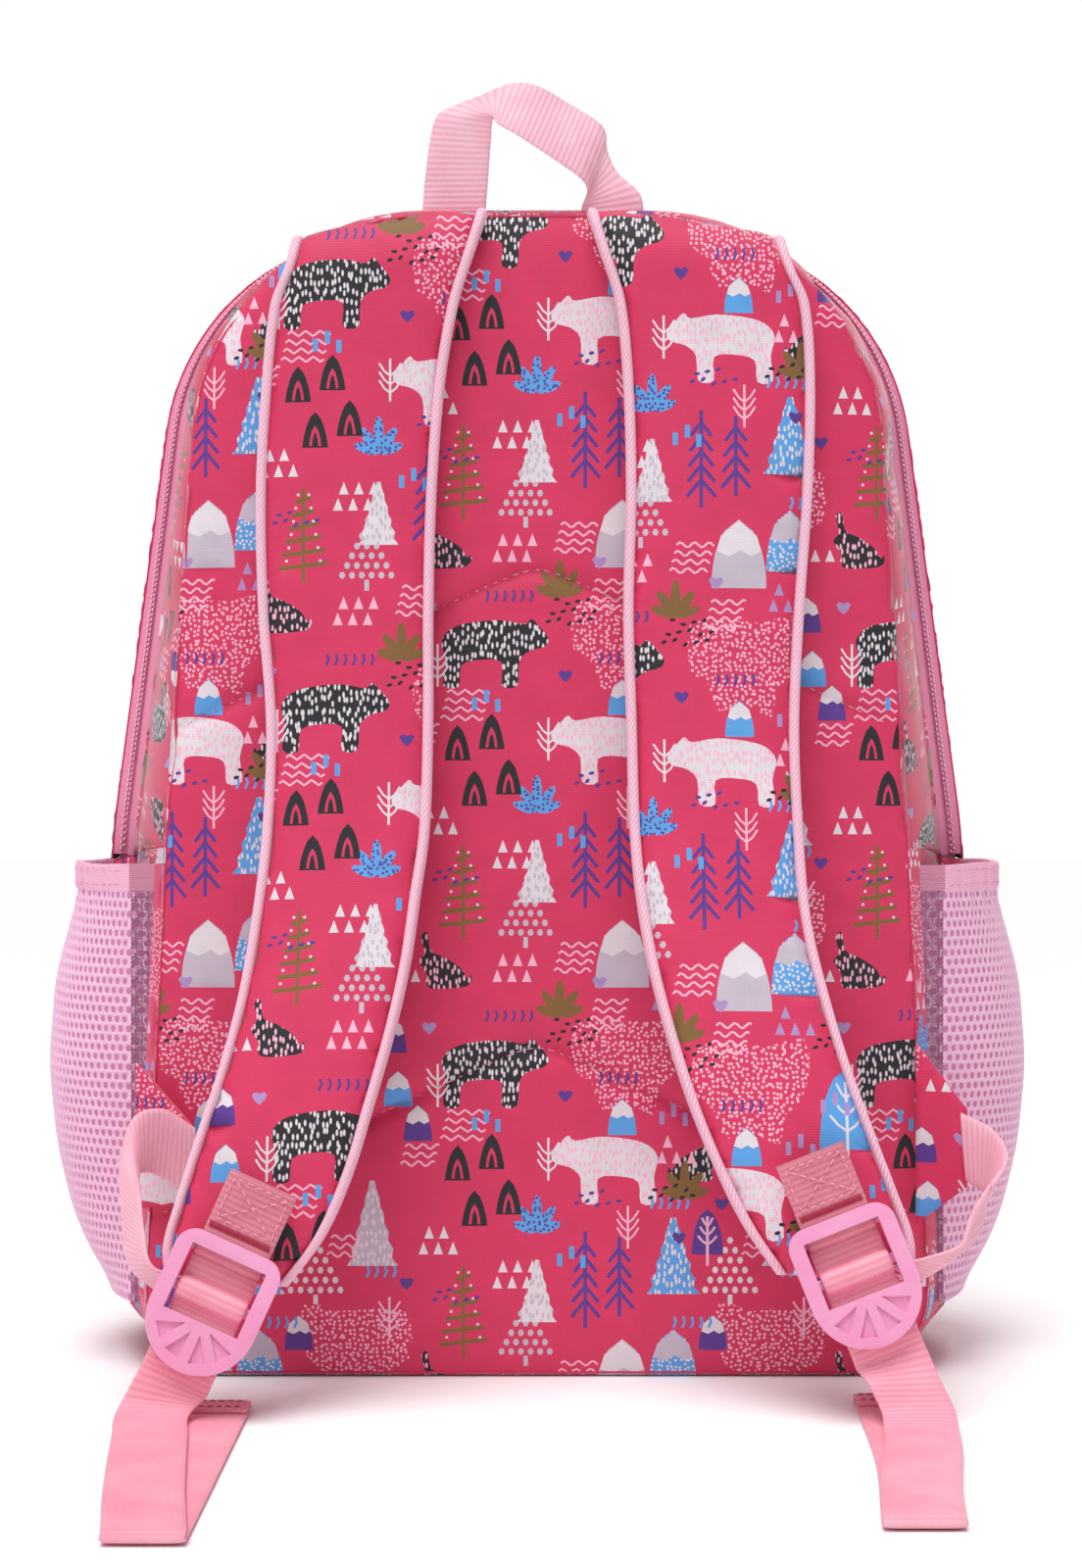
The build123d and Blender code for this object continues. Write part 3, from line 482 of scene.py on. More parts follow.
def printed_piece(name, edge, front, back=None, offset=(0.0, 0.0), pitch=5.0, thickness=0.7, folds=None):
    """A piece of printed cloth. The edge is a loop in the cloth's own mm, and front(points) places
    the cloth in space. The edge, the print's outlines and a grid are triangulated together, and each
    triangle takes the ink of the last shape that holds its middle. Plain cloth closes the piece
    behind: at back(points), sharing its edge, or else one thickness inwards. Folds are more points of
    the cloth, where it bends sharply."""
    low, high = edge.min(axis=0), edge.max(axis=0)
    shapes = print_shapes(low, high, np.array(offset))
    grid = np.meshgrid(np.arange(low[0] + pitch / 2, high[0], pitch),
                       np.arange(low[1] + pitch / 2, high[1], pitch))
    lattice = np.stack([grid[0].ravel(), grid[1].ravel()], axis=1)
    lattice = lattice[inside(lattice, edge)]
    if folds is not None:
        lattice = np.concatenate([lattice, folds[inside(folds, edge)]])
    lattice = lattice[edge_distance(lattice, edge) > pitch / 4]
    loops = [edge] + [shape[0] for shape in shapes]
    starts = np.cumsum([0] + [len(loop) for loop in loops])
    links = np.concatenate([loop_links(len(loop), start) for loop, start in zip(loops, starts)])
    flat = np.concatenate(loops + [lattice])
    drawn = delaunay_2d_cdt([Vector(p) for p in flat.tolist()], links.tolist(), [], 0, 1e-4, False)
    verts = np.array([tuple(v) for v in drawn[0]])
    tris = np.array(drawn[2])
    middle = verts[tris].mean(axis=1)
    keep = inside(middle, edge)
    tris, middle = tris[keep], middle[keep]
    ink = np.tile(PINK, (len(tris), 1))
    second, pattern = ink.copy(), np.zeros(len(tris))
    for loop, first_ink, second_ink, kind in shapes:
        near = np.nonzero(((middle > loop.min(axis=0)) & (middle < loop.max(axis=0))).all(axis=1))[0]
        hit = near[inside(middle[near], loop)]
        ink[hit], second[hit], pattern[hit] = first_ink, second_ink, kind
    used, tris = np.unique(tris, return_inverse=True)
    tris, verts = tris.reshape(-1, 3), verts[used]
    corner = verts[tris]
    turn = np.cross(corner[:, 1] - corner[:, 0], corner[:, 2] - corner[:, 0])
    kept = np.abs(turn) > 1e-6
    tris = tris[kept]
    ink, second, pattern = ink[kept], second[kept], pattern[kept]
    placed = front(verts)
    tris = np.where((turn[kept] < 0)[:, None], tris[:, ::-1], tris)
    sides = np.sort(np.concatenate([tris[:, [0, 1]], tris[:, [1, 2]], tris[:, [2, 0]]]), axis=1)
    codes, counts = np.unique(sides @ np.array([len(verts), 1]), return_counts=True)
    once = codes[counts == 1]
    rim = np.unique(np.concatenate([once // len(verts), once % len(verts)]))
    if back is None:
        step = 0.5
        across = front(verts + (step, 0)) - front(verts - (step, 0))
        up = front(verts + (0, step)) - front(verts - (0, step))
        normal = np.cross(across, up)
        behind = placed - normal / np.maximum(np.linalg.norm(normal, axis=1), 1e-9)[:, None] * thickness
        twin = np.arange(len(verts)) + len(verts)
        border = np.concatenate([tris[:, [0, 1]], tris[:, [1, 2]], tris[:, [2, 0]]])
        border = border[np.isin(sides @ np.array([len(verts), 1]), once)]
        wall = np.concatenate([
            np.stack([border[:, 1], border[:, 0], twin[border[:, 0]]], axis=1),
            np.stack([border[:, 1], twin[border[:, 0]], twin[border[:, 1]]], axis=1),
        ])
    else:
        behind = back(verts)
        twin = np.arange(len(verts)) + len(verts)
        twin[rim] = rim
        wall = np.empty((0, 3), int)
    extra = len(tris) + len(wall)
    faces = np.concatenate([tris, twin[tris][:, ::-1], wall])
    plain = np.tile(PINK, (extra, 1))
    piece = mesh_object(name, np.concatenate([placed, behind]), faces, printed,
                        np.concatenate([verts, verts]) * MM * 100)
    for label, values in (("ink", ink), ("second_ink", second)):
        layer = piece.data.color_attributes.new(label, "FLOAT_COLOR", "CORNER")
        by_corner = np.repeat(np.concatenate([values, plain]), 3, axis=0)
        layer.data.foreach_set("color", by_corner.astype(np.float32).ravel())
    layer = piece.data.attributes.new("pattern", "FLOAT", "FACE")
    layer.data.foreach_set("value", np.concatenate([pattern, np.zeros(extra)]).astype(np.float32))
    return piece


# Plain-woven polyester: a matt, slightly fuzzy surface, a little lighter where it turns away. The
# threads lie 0.45 mm apart and are drawn at 0.9 mm, so that they show. The UV map is in cm of cloth.
printed, tree, shader = new_material("woven_polyester_printed", "#de3f6f", 0.62,
                                     {"Sheen Weight": 0.35, "Sheen Roughness": 0.35})
cloth = add_node(tree, "UVMap", {"uv_map": "cloth"}).outputs[0]
ink = add_node(tree, "Attribute", {"attribute_name": "ink"}).outputs["Color"]
second = add_node(tree, "Attribute", {"attribute_name": "second_ink"}).outputs["Color"]
kind = add_node(tree, "Attribute", {"attribute_name": "pattern"}).outputs["Fac"]
marks = []
for stretch, limit in (((6.0, 6.0, 1), 0.24), ((6.8, 2.8, 1), 0.24)):
    placed = add_node(tree, "Mapping", None, {"Vector": cloth, "Scale": stretch}).outputs[0]
    cells = add_node(tree, "TexVoronoi", {"voronoi_dimensions": "2D"},
                     {"Vector": placed, "Scale": 1.0, "Randomness": 0.8})
    soft = add_node(tree, "MapRange", None, {"Value": cells.outputs["Distance"], "From Min": limit,
                                             "From Max": limit + 0.1,
                                             "To Min": 1.0, "To Max": 0.0})
    marks.append(soft.outputs[0])
either = add_node(tree, "Mix", {"data_type": "FLOAT"}, {0: kind, 2: marks[0], 3: marks[1]}).outputs[0]
colour = add_node(tree, "Mix", {"data_type": "RGBA"}, {0: either, 6: ink, 7: second}).outputs[2]
fade = add_node(tree, "TexNoise", None, {"Vector": cloth, "Scale": 0.7, "Detail": 3.0}).outputs["Fac"]
value = add_node(tree, "MapRange", None, {"Value": fade, "From Min": 0.3, "From Max": 0.7, "To Min": 0.94,
                                          "To Max": 1.05}).outputs[0]
shade = add_node(tree, "HueSaturation", None, {"Color": colour, "Value": value}).outputs[0]
tree.links.new(shade, shader.inputs["Base Color"])
warp = add_node(tree, "TexWave", {"bands_direction": "X"},
                {"Vector": cloth, "Scale": 3.5, "Distortion": 0.8}).outputs["Fac"]
weft = add_node(tree, "TexWave", {"bands_direction": "Y"},
                {"Vector": cloth, "Scale": 3.5, "Distortion": 0.8}).outputs["Fac"]
weave = add_node(tree, "Math", {"operation": "ADD"}, {0: warp, 1: weft}).outputs[0]
bump = add_node(tree, "Bump", None, {"Height": weave, "Strength": 0.2, "Distance": 0.0003}).outputs[0]
tree.links.new(bump, shader.inputs["Normal"])

PANEL_Y = -62.5
SEAM_Y = -57.0
PANEL_REAR_Y = -55.2
QUILT_APEXES = (288.0, 119.0)
QUILT_SLOPE = 0.46
QUILT_GROOVE = 3.3
QUILT_WIDTH = 3.0
panel_edge = bag_outline(BACK_OUTLINE, 0.4)


def grid_faces(rows, columns, wrap=False):
    """Quads of a grid of rows by columns of points, closed along the columns when it wraps."""
    row = np.arange(rows - 1)[:, None]
    column = np.arange(columns if wrap else columns - 1)[None, :]
    after = (column + 1) % columns
    quads = [row * columns + column, row * columns + after, (row + 1) * columns + after,
             (row + 1) * columns + column]
    return np.stack(quads, axis=-1).reshape(-1, 4)


def two_shade(name, colour, roughness, shades, pattern, settings=None, relief=None, on_cloth=False):
    """A material that goes between two shades by a pattern: the kind of its node, its settings and its
    inputs, on Object coordinates or on the cloth's own UV map. Relief is a bump of the same pattern, as
    strength and metres."""
    material, tree, shader = new_material(name, colour, roughness, settings)
    kind, choices, inputs = pattern
    if on_cloth:
        place = add_node(tree, "UVMap", {"uv_map": "cloth"}).outputs[0]
    else:
        place = add_node(tree, "TexCoord").outputs["Object"]
    share = add_node(tree, kind, choices, {"Vector": place, **inputs}).outputs["Fac"]
    mixed = {0: share, 6: linear(shades[0]), 7: linear(shades[1])}
    tone = add_node(tree, "Mix", {"data_type": "RGBA"}, mixed).outputs[2]
    tree.links.new(tone, shader.inputs["Base Color"])
    if relief:
        inputs = {"Height": share, "Strength": relief[0], "Distance": relief[1]}
        tree.links.new(add_node(tree, "Bump", None, inputs).outputs[0], shader.inputs["Normal"])
    return material


# Spun polyester sewing thread: matt, twisted
twist = ("TexNoise", None, {"Scale": 1500.0})
thread = two_shade("sewing_thread", "#f49ab6", 0.7, ("#e67f9f", "#ffb6cb"), twist)


ROD_POINTS = 30
ROD_CAPS = ([5, 4, 3, 2, 1, 0], [24, 25, 26, 27, 28, 29])


def rods(name, rings, material):
    """Many small rods, each of five rings of six points and closed at its ends."""
    starts = np.arange(len(rings)) * ROD_POINTS
    faces = (grid_faces(5, 6, True)[None] + starts[:, None, None]).reshape(-1, 4).tolist()
    faces += [[corner + start for corner in cap] for start in starts for cap in ROD_CAPS]
    return mesh_object(name, rings.reshape(-1, 3), faces, material)


def stitches(name, starts, ends, outward, material, width=0.55, height=0.35):
    """Sewing stitches from starts to ends: each a rod of six-point rings, radii 0.3, 1, 1, 1, 0.3,
    that rises from the cloth in the middle as a half sine."""
    along = ends - starts
    across = np.cross(outward, along)
    across /= np.linalg.norm(across, axis=1)[:, None]
    share = np.linspace(0, 1, 5)[None, :, None, None]
    angle = (2 * math.pi * np.arange(6) / 6)[None, None, :, None]
    taper = np.array([0.3, 1.0, 1.0, 1.0, 0.3])[None, :, None, None]
    rings = (starts[:, None, None] + along[:, None, None] * share
             + across[:, None, None] * taper * np.cos(angle) * width / 2
             + outward[:, None, None] * (taper * np.sin(angle) * height / 2
                                         + height * 0.7 * np.sin(math.pi * share)))
    return rods(name, rings, material)


def seam(name, path, outward, material, length=3.0, gap=1.2, width=0.55):
    """A row of stitches along a path of points, with the cloth's outward direction at each of them."""
    run = np.concatenate([[0.0], np.cumsum(np.linalg.norm(np.diff(path, axis=0), axis=1))])
    first = np.arange(0.0, run[-1] - length, length + gap)

    def place(at, values):
        """Values at lengths along the path, between its points in proportion."""
        return np.stack([np.interp(at, run, values[:, i]) for i in range(3)], axis=1)

    normal = place(first + length / 2, outward)
    return stitches(name, place(first, path), place(first + length, path), normal, material, width)


def quilt_height(apex, x):
    """The height of an arrowhead line: two straight arms with a rounded tip, a hyperbola."""
    return apex - QUILT_SLOPE * np.sqrt(x ** 2 + 30.0)


def quilt_depth(points):
    """How deep the quilting pulls the cover in: bell curves about two arrowhead lines."""
    depth = np.zeros(len(points))
    for apex in QUILT_APEXES:
        away = points[:, 1] - quilt_height(apex, points[:, 0])
        depth = np.maximum(depth, QUILT_GROOVE * np.exp(-(np.abs(away) / QUILT_WIDTH) ** 1.3))
    return depth


def panel_front(points):
    """The cover: it rises from the seam by 1 - exp(-distance / 9), less the quilting, and rolls softly."""
    rise = 1 - np.exp(-edge_distance(points, panel_edge) / 9.0)
    roll = 0.5 * np.sin(points[:, 0] / 31.0 + 1.3) * np.sin(points[:, 1] / 43.0)
    depth = PANEL_Y + (SEAM_Y - PANEL_Y) * (1 - rise) + (quilt_depth(points) + roll + 0.5) * rise
    return np.stack([points[:, 0], depth, points[:, 1]], axis=1)


def panel_back(points):
    """The foam's flat rear, rounded to the seam."""
    rise = 1 - np.exp(-edge_distance(points, panel_edge) / 4.0)
    depth = SEAM_Y + (PANEL_REAR_Y - SEAM_Y) * rise
    return np.stack([points[:, 0], depth, points[:, 1]], axis=1)


quilt_x = np.arange(-138.0, 138.0, 3.0)
quilt_lines = [np.stack([quilt_x, quilt_height(apex, quilt_x) + shift], axis=1)
               for apex in QUILT_APEXES for shift in (-5.0, -2.6, -1.2, 0.0, 1.2, 2.6, 5.0)]
back_pad = printed_piece("back_panel_pad", panel_edge, panel_front, panel_back, (40.0, 12.0), 4.0,
                         folds=np.concatenate(quilt_lines))
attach(back_pad, "root")
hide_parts("back_panel_cover", "back_panel_foam")
for number, line in enumerate((quilt_lines[3], quilt_lines[10])):
    line = line[edge_distance(line, panel_edge) > 4.0]
    line = line[inside(line, panel_edge)]
    row = seam(f"quilting_stitches_{number}", panel_front(line), np.tile((0.0, -1.0, 0.0), (len(line), 1)),
               thread, 2.8, 1.0, 0.5)
    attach(row, "root")

# ------------------------------------------------------------------ sides, base and gussets
# The wall between back and front: a base, two side panels, and an arch of cloth on each side of the
# zip. All are printed polyester, sewn to the back panel and the front panel by hidden seams.
GUSSET_KNOTS = np.array([-58.5, -53.5, -7.0, 7.0, 56.0, 61.0])
FOLD_Z = 183.0
BASE_TOP = 30.0
ZIP_HALF = 7.0
HEM_LIFT = 0.9
HEM_TUCK = 0.8
# Creases of the rear gusset: height, depth, half width and slope
CREASES = ((392.0, 4.2, 7.0, 0.30), (372.0, 2.6, 8.0, -0.25), (330.0, 1.5, 12.0, 0.35),
           (262.0, 1.6, 11.0, -0.4), (222.0, 1.3, 10.0, 0.3))
REAR_SEAM_Y = -58.0
FRONT_SEAM_Y = 59.9
outlines = np.stack([
    bag_outline(BACK_OUTLINE, 1.4), bag_outline(BACK_OUTLINE), bag_outline(REAR_ZIP_OUTLINE),
    bag_outline(FRONT_ZIP_OUTLINE), bag_outline(FRONT_OUTLINE, -0.8), bag_outline(FRONT_OUTLINE, -0.4),
])
zip_line = outlines[2]
zip_steps = np.linalg.norm(np.diff(zip_line, axis=0, append=zip_line[:1]), axis=1)
zip_length = zip_steps.sum()
zip_run = np.concatenate([[0.0], np.cumsum(zip_steps)])


def run_at(height):
    """Length along the zip line, from the right foot corner up, at which it reaches a height."""
    rising = np.argmax(zip_line[:, 1])
    return float(np.interp(height, zip_line[:rising, 1], zip_run[:rising]))


def wall_place(run, depth, lift=0.0):
    """The bag's wall, in space, at lengths along the zip line and at depths: the outlines are joined by
    straight lines in depth, and the cloth swells between its seams as the sine of its share."""
    index = np.interp(run % zip_length, zip_run, np.arange(len(zip_run)))
    low = index.astype(int) % len(zip_line)
    part = (index - index.astype(int))[..., None, None]
    after = (low + 1) % len(zip_line)
    stack = outlines.transpose(1, 0, 2)
    sections = stack[low] * (1 - part) + stack[after] * part
    knot = np.clip(np.interp(depth, GUSSET_KNOTS, np.arange(len(GUSSET_KNOTS))), 0,
                   len(GUSSET_KNOTS) - 1.001)
    first = knot.astype(int)
    weight = (knot - first)[..., None]
    point = (np.take_along_axis(sections, first[..., None, None], axis=-2)[..., 0, :] * (1 - weight)
             + np.take_along_axis(sections, first[..., None, None] + 1, axis=-2)[..., 0, :] * weight)
    slope = stack[after, 2] - stack[low, 2]
    outward = np.stack([slope[..., 1], -slope[..., 0]], axis=-1)
    outward /= np.maximum(np.linalg.norm(outward, axis=-1), 1e-9)[..., None]
    free = np.clip(point[..., 1] / 50.0, 0, 1)
    rear_share = np.clip((depth - REAR_SEAM_Y) / (-ZIP_HALF - REAR_SEAM_Y), 0, 1)
    front_share = np.clip((FRONT_SEAM_Y - depth) / (FRONT_SEAM_Y - ZIP_HALF), 0, 1)
    swell = np.where(depth < 0, 3.0 * np.sin(math.pi * rear_share ** 0.8),
                     5.0 * np.sin(math.pi * front_share ** 1.6)) * free
    height = point[..., 1]
    side = np.sign(point[..., 0])
    crease = 0.0
    for place, deep, wide, lean in CREASES:
        away = height - place - lean * (depth + 35.0) + 6.0 * side
        crease = crease - deep * np.exp(-(away / wide) ** 2) * np.clip((-depth - 12.0) / 30.0, 0, 1)
    edge = np.abs(point[..., 0]) > 60.0
    point = point + outward * (swell + crease * edge * free + lift)[..., None]
    return np.stack([point[..., 0], depth * np.ones_like(point[..., 0]), point[..., 1]], axis=-1)


def strip_edge(run_low, run_high, depth_low, depth_high, least):
    """The edge of a strip of wall, (run, depth), as four sides cut into steps of about 4 mm."""
    along = np.linspace(run_low, run_high, max(least[0], int((run_high - run_low) / 4)))
    across = np.linspace(depth_low, depth_high, max(least[1], int((depth_high - depth_low) / 4)))
    return np.concatenate([
        np.stack([along, np.full_like(along, depth_low)], axis=1)[:-1],
        np.stack([np.full_like(across, run_high), across], axis=1)[:-1],
        np.stack([along[::-1], np.full_like(along, depth_high)], axis=1)[:-1],
        np.stack([np.full_like(across, run_low), across[::-1]], axis=1)[:-1],
    ])


def gusset_piece(name, run_low, run_high, depth_low, depth_high, offset, turn=1.0):
    """Printed cloth of the wall between two lengths along the zip line and two depths."""
    edge = strip_edge(run_low, run_high, depth_low, depth_high, (8, 6))
    hem = ZIP_HALF if depth_high < 0 or depth_low > 0 else 0.0

    def place(points):
        """The wall, lifted at the zip by the folded hem."""
        depth = points[:, 1]
        lift = HEM_LIFT * np.clip(1 - (np.abs(depth) - hem) / 3.0, 0, 1) if hem else 0.0
        return wall_place(points[:, 0], depth, lift)

    def turned(points):
        """The same with the cloth's sides changed over, so that its print stands upright on the bag."""
        return place(points[:, ::-1] * turn)

    return printed_piece(name, edge[::-1, ::-1] * turn, turned, None, offset, 5.0)


base_run = run_at(BASE_TOP)
fold_run = run_at(FOLD_Z)
top_run = float(np.interp(0.0, -zip_line[:len(zip_line) // 2 + 60, 0], zip_run[:len(zip_line) // 2 + 60]))
left_fold = 2 * top_run - fold_run
left_base = 2 * top_run - base_run
side_right = gusset_piece("side_cloth_right", base_run, fold_run, REAR_SEAM_Y, FRONT_SEAM_Y, (20.0, 0.0))
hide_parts("side_panel_right")
side_left = gusset_piece("side_cloth_left", left_fold, left_base, REAR_SEAM_Y, FRONT_SEAM_Y, (70.0, 30.0),
                         -1.0)
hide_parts("side_panel_left")
base_cloth = gusset_piece("base_cloth", left_base, zip_length + base_run, REAR_SEAM_Y, FRONT_SEAM_Y,
                          (0.0, 0.0))
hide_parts("base_panel")
rear_arch = gusset_piece("rear_arch_cloth", fold_run, left_fold, REAR_SEAM_Y, HEM_TUCK - ZIP_HALF,
                         (55.0, 60.0))
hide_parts("rear_gusset")
for piece in (side_right, side_left, base_cloth, rear_arch):
    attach(piece, "root")
front_arch = gusset_piece("front_arch_cloth", fold_run + 0.4, left_fold - 0.4, ZIP_HALF - HEM_TUCK,
                          FRONT_SEAM_Y, (100.0, 20.0))
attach(front_arch, "flap")
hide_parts("flap_gusset")

# ------------------------------------------------------------------ front panel
# One sheet of printed polyester over the whole front, sewn to the gusset all round. On the bag its lower
# part is fixed and its upper part is the flap that folds down when the main zip is open; here the sheet is
# one piece, not joined to the flap.
FRONT_SEAM = 59.5
FRONT_CROWN = 60.4
front_edge = bag_outline(FRONT_OUTLINE, -0.2)


def front_face(points):
    """The front, nearly flat and rounded to its seam. The cloth's first side is turned to face +Y."""
    rise = 1 - np.exp(-edge_distance(points * (-1, 1), front_edge) / 8.0)
    depth = FRONT_SEAM + (FRONT_CROWN - FRONT_SEAM) * rise
    return np.stack([-points[:, 0], depth, points[:, 1]], axis=1)


front_cloth = printed_piece("front_cloth", front_edge * (-1, 1), front_face, None, (10.0, 70.0), 5.0, 0.25)
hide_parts("front_panel_lower", "front_panel_upper")
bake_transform(front_cloth)

# ------------------------------------------------------------------ linings and foam
# Smooth woven polyester in a quiet mauve, hot-cut and sewn in with the outer seams. The foam inside
# the back panel and the straps is closed-cell polyethylene.
# The lining's threads are 0.3 mm apart and drawn at 1 mm.
lining_cloth = two_shade("woven_polyester_lining", "#c9849f", 0.6, ("#bd7893", "#d28fa9"),
                         ("TexNoise", None, {"Scale": 1000.0}), {"Sheen Weight": 0.15})
for node in ("main_lining", "flap_lining", "front_lining_lower", "front_lining_upper", "back_panel_lining"):
    paint(node, lining_cloth)

foam, tree, shader = new_material("closed_cell_foam", "#f2eef0", 0.9)
place = add_node(tree, "TexCoord").outputs["Object"]
cells = add_node(tree, "TexVoronoi", None, {"Vector": place, "Scale": 900.0}).outputs["Distance"]
bump = add_node(tree, "Bump", None, {"Height": cells, "Strength": 0.3, "Distance": 0.0003}).outputs[0]
tree.links.new(bump, shader.inputs["Normal"])
for node in ("back_panel_foam", "strap_foam_left", "strap_foam_right"):
    paint(node, foam)

# ------------------------------------------------------------------ main zip
# A coil zip over the arch, from fold line to fold line: two knitted tapes, each with a nylon coil
# sewn to its edge. Two sliders of enamelled zinc run on it, each with its pull.
COIL_PITCH = 1.9
COIL_REACH = 1.25
COIL_LIFT = 0.35


def coil_teeth(name, centres, along, across, up, material):
    """A row of coil teeth. Each is a bent rod: a ring of six points of the tooth's radius carried along
    half a sine wave that rises from the tape and drops over its edge."""
    share = np.linspace(0, 1, 5)[:, None]
    angle = 2 * math.pi * np.arange(6)[None, :] / 6
    taper = np.array([0.45, 1.0, 1.0, 1.0, 0.5])[:, None]
    width = COIL_PITCH * 0.4 * taper * np.cos(angle)
    height = 0.45 * taper * np.sin(angle) + COIL_LIFT + 0.75 * np.sin(math.pi * (0.25 + 0.6 * share))
    reach = (share - 0.5) * 2 * COIL_REACH + 0 * angle
    rings = (centres[:, None, None] + along[:, None, None] * width[None, ..., None]
             + across[:, None, None] * reach[None, ..., None] + up[:, None, None] * height[None, ..., None])
    return rods(name, rings, material)


# Knitted polyester tape: matt, with fine ribs along its length, 0.5 mm apart and drawn at 1 mm
tape_knit = two_shade("knitted_zip_tape", "#ef8fb3", 0.8, ("#e77aa3", "#f4a0c0"),
                      ("TexWave", {"bands_direction": "Y"}, {"Scale": 320.0, "Distortion": 1.0}),
                      relief=(0.35, 0.0003))

# Nylon monofilament: smooth and slightly glossy, a shade lighter than the tape
coil_nylon = two_shade("nylon_coil", "#f7aecb", 0.35, ("#ef93b7", "#fcc6db"),
                       ("TexNoise", None, {"Scale": 60.0}), {"IOR": 1.53})

# Enamel baked on cast zinc: glossy, with tiny waves and small worn spots
zip_enamel, tree, shader = new_material("enamelled_zinc", "#e8507f", 0.28,
                                        {"Coat Weight": 0.4, "Coat Roughness": 0.15})
place = add_node(tree, "TexCoord").outputs["Object"]
rub = add_node(tree, "TexNoise", None, {"Vector": place, "Scale": 400.0, "Detail": 3.0}).outputs["Fac"]
worn = add_node(tree, "MapRange", None, {"Value": rub, "From Min": 0.64, "From Max": 0.70}).outputs[0]
tone = add_node(tree, "Mix", {"data_type": "RGBA"},
                {0: worn, 6: linear("#e8507f"), 7: linear("#c9a4ae")}).outputs[2]
tree.links.new(tone, shader.inputs["Base Color"])
waves_of_enamel = add_node(tree, "Bump", None,
                           {"Height": rub, "Strength": 0.15, "Distance": 0.0002}).outputs[0]
tree.links.new(waves_of_enamel, shader.inputs["Normal"])

for node in ("zip_tape_rear", "zip_tape_front", "front_pocket_zip_tapes"):
    paint(node, tape_knit)
for node in ("main_slider_left", "main_slider_right", "main_pull_left", "main_pull_right",
             "front_pocket_slider", "front_pocket_pull"):
    paint(node, zip_enamel)

for name, body, side, shift in (("main_coil_rear", "root", -1, 0.0), ("main_coil_front", "flap", 1, 0.5)):
    runs = np.arange(fold_run + COIL_PITCH * (1 + shift), left_fold - COIL_PITCH, COIL_PITCH)
    centre = wall_place(runs, np.full_like(runs, side * 0.9))
    ahead = wall_place(runs + 1.0, np.full_like(runs, side * 0.9)) - centre
    ahead /= np.linalg.norm(ahead, axis=1)[:, None]
    across = np.tile((0.0, -float(side), 0.0), (len(runs), 1))
    up = np.cross(ahead, (0.0, -1.0, 0.0))
    coil = coil_teeth(name, centre, ahead * (-side), across, up, coil_nylon)
    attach(coil, body)
    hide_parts("zip_coil_rear" if side < 0 else "zip_coil_front")

# ------------------------------------------------------------------ front pocket
# A patch pocket on the front: printed polyester with its own gusset and a coil zip along the top,
# sewn round by its edge. One slider with a pull closes it.
POCKET = {"front": 94.8, "foot": 12.0, "top": 140.0, "foot_half": 116.0, "top_half": 112.0, "radius": 28.0,
          "zip": 78.0, "zip_half": 84.0, "back": 60.6}


def pocket_outline(inset):
    """Closed outline (x, z) of the front pocket: a trapezoid with rounded corners, each an arc."""
    foot, top = POCKET["foot_half"] - inset, POCKET["top_half"] - inset
    low, high, radius = POCKET["foot"] + inset, POCKET["top"] - inset, POCKET["radius"] - inset
    angle = np.linspace(0, math.pi / 2, 14)
    corners = ((foot - radius, low + radius, -math.pi / 2), (top - radius, high - radius, 0.0),
               (-top + radius, high - radius, math.pi / 2), (-foot + radius, low + radius, math.pi))
    arcs = [np.stack([x + radius * np.cos(angle + start), z + radius * np.sin(angle + start)], axis=1)
            for x, z, start in corners]
    sides = [np.linspace(arcs[i][-1], arcs[(i + 1) % 4][0], 24)[1:-1] for i in range(4)]
    return np.concatenate([part for pair in zip(arcs, sides) for part in pair])


pocket_edge = pocket_outline(1.2)


def pocket_front(points):
    """The pocket's front: a soft crown that falls to the seam as exp(-distance / 10)."""
    rise = 1 - np.exp(-edge_distance(points * (-1, 1), pocket_edge) / 10.0)
    roll = 0.5 * np.sin(points[:, 0] / 24.0) * np.sin(points[:, 1] / 27.0 + 1)
    depth = POCKET["front"] - 6.0 + (6.0 + roll - 0.5) * rise
    return np.stack([-points[:, 0], depth, points[:, 1]], axis=1)


pocket_cloth = printed_piece("front_pocket_cloth", pocket_edge * (-1, 1), pocket_front, None, (30.0, 20.0),
                             4.0)
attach(pocket_cloth, "root")
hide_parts("front_pocket_panel")

pocket_loop = pocket_outline(0.0)
pocket_steps = np.linalg.norm(np.diff(pocket_loop, axis=0, append=pocket_loop[:1]), axis=1)
pocket_run = np.concatenate([[0.0], np.cumsum(pocket_steps)])
pocket_length = pocket_run[-1]
POCKET_SEAM_Y = 89.2
POCKET_TUCK = 1.5


def pocket_wall(points):
    """The pocket's gusset at lengths along its outline (first) and depths (second), swelling by a sine."""
    run = points[:, 0] % pocket_length
    closed = np.concatenate([pocket_loop, pocket_loop[:1]])
    flat = np.stack([np.interp(run, pocket_run, closed[:, 0]), np.interp(run, pocket_run, closed[:, 1])],
                    axis=1)
    ahead = np.stack([np.interp((run + 0.5) % pocket_length, pocket_run, closed[:, i]) for i in (0, 1)],
                     axis=1)
    slope = ahead - flat
    slope_length = np.maximum(np.linalg.norm(slope, axis=1), 1e-9)
    outward = np.stack([slope[:, 1], -slope[:, 0]], axis=1) / slope_length[:, None]
    share = np.clip((points[:, 1] - POCKET["back"]) / (POCKET_SEAM_Y - POCKET["back"]), 0, 1)
    on_top = (flat[:, 1] > POCKET["top"] - 1.0) & (np.abs(flat[:, 0]) < POCKET["zip_half"] + 3.0)
    swell = np.where(on_top, 0.0, 1.6 * np.sin(math.pi * share))
    swell = swell - 1.2 * np.exp(-(1 - share) * 12.0)
    flat = flat + outward * swell[:, None]
    return np.stack([flat[:, 0], points[:, 1], flat[:, 1]], axis=1)


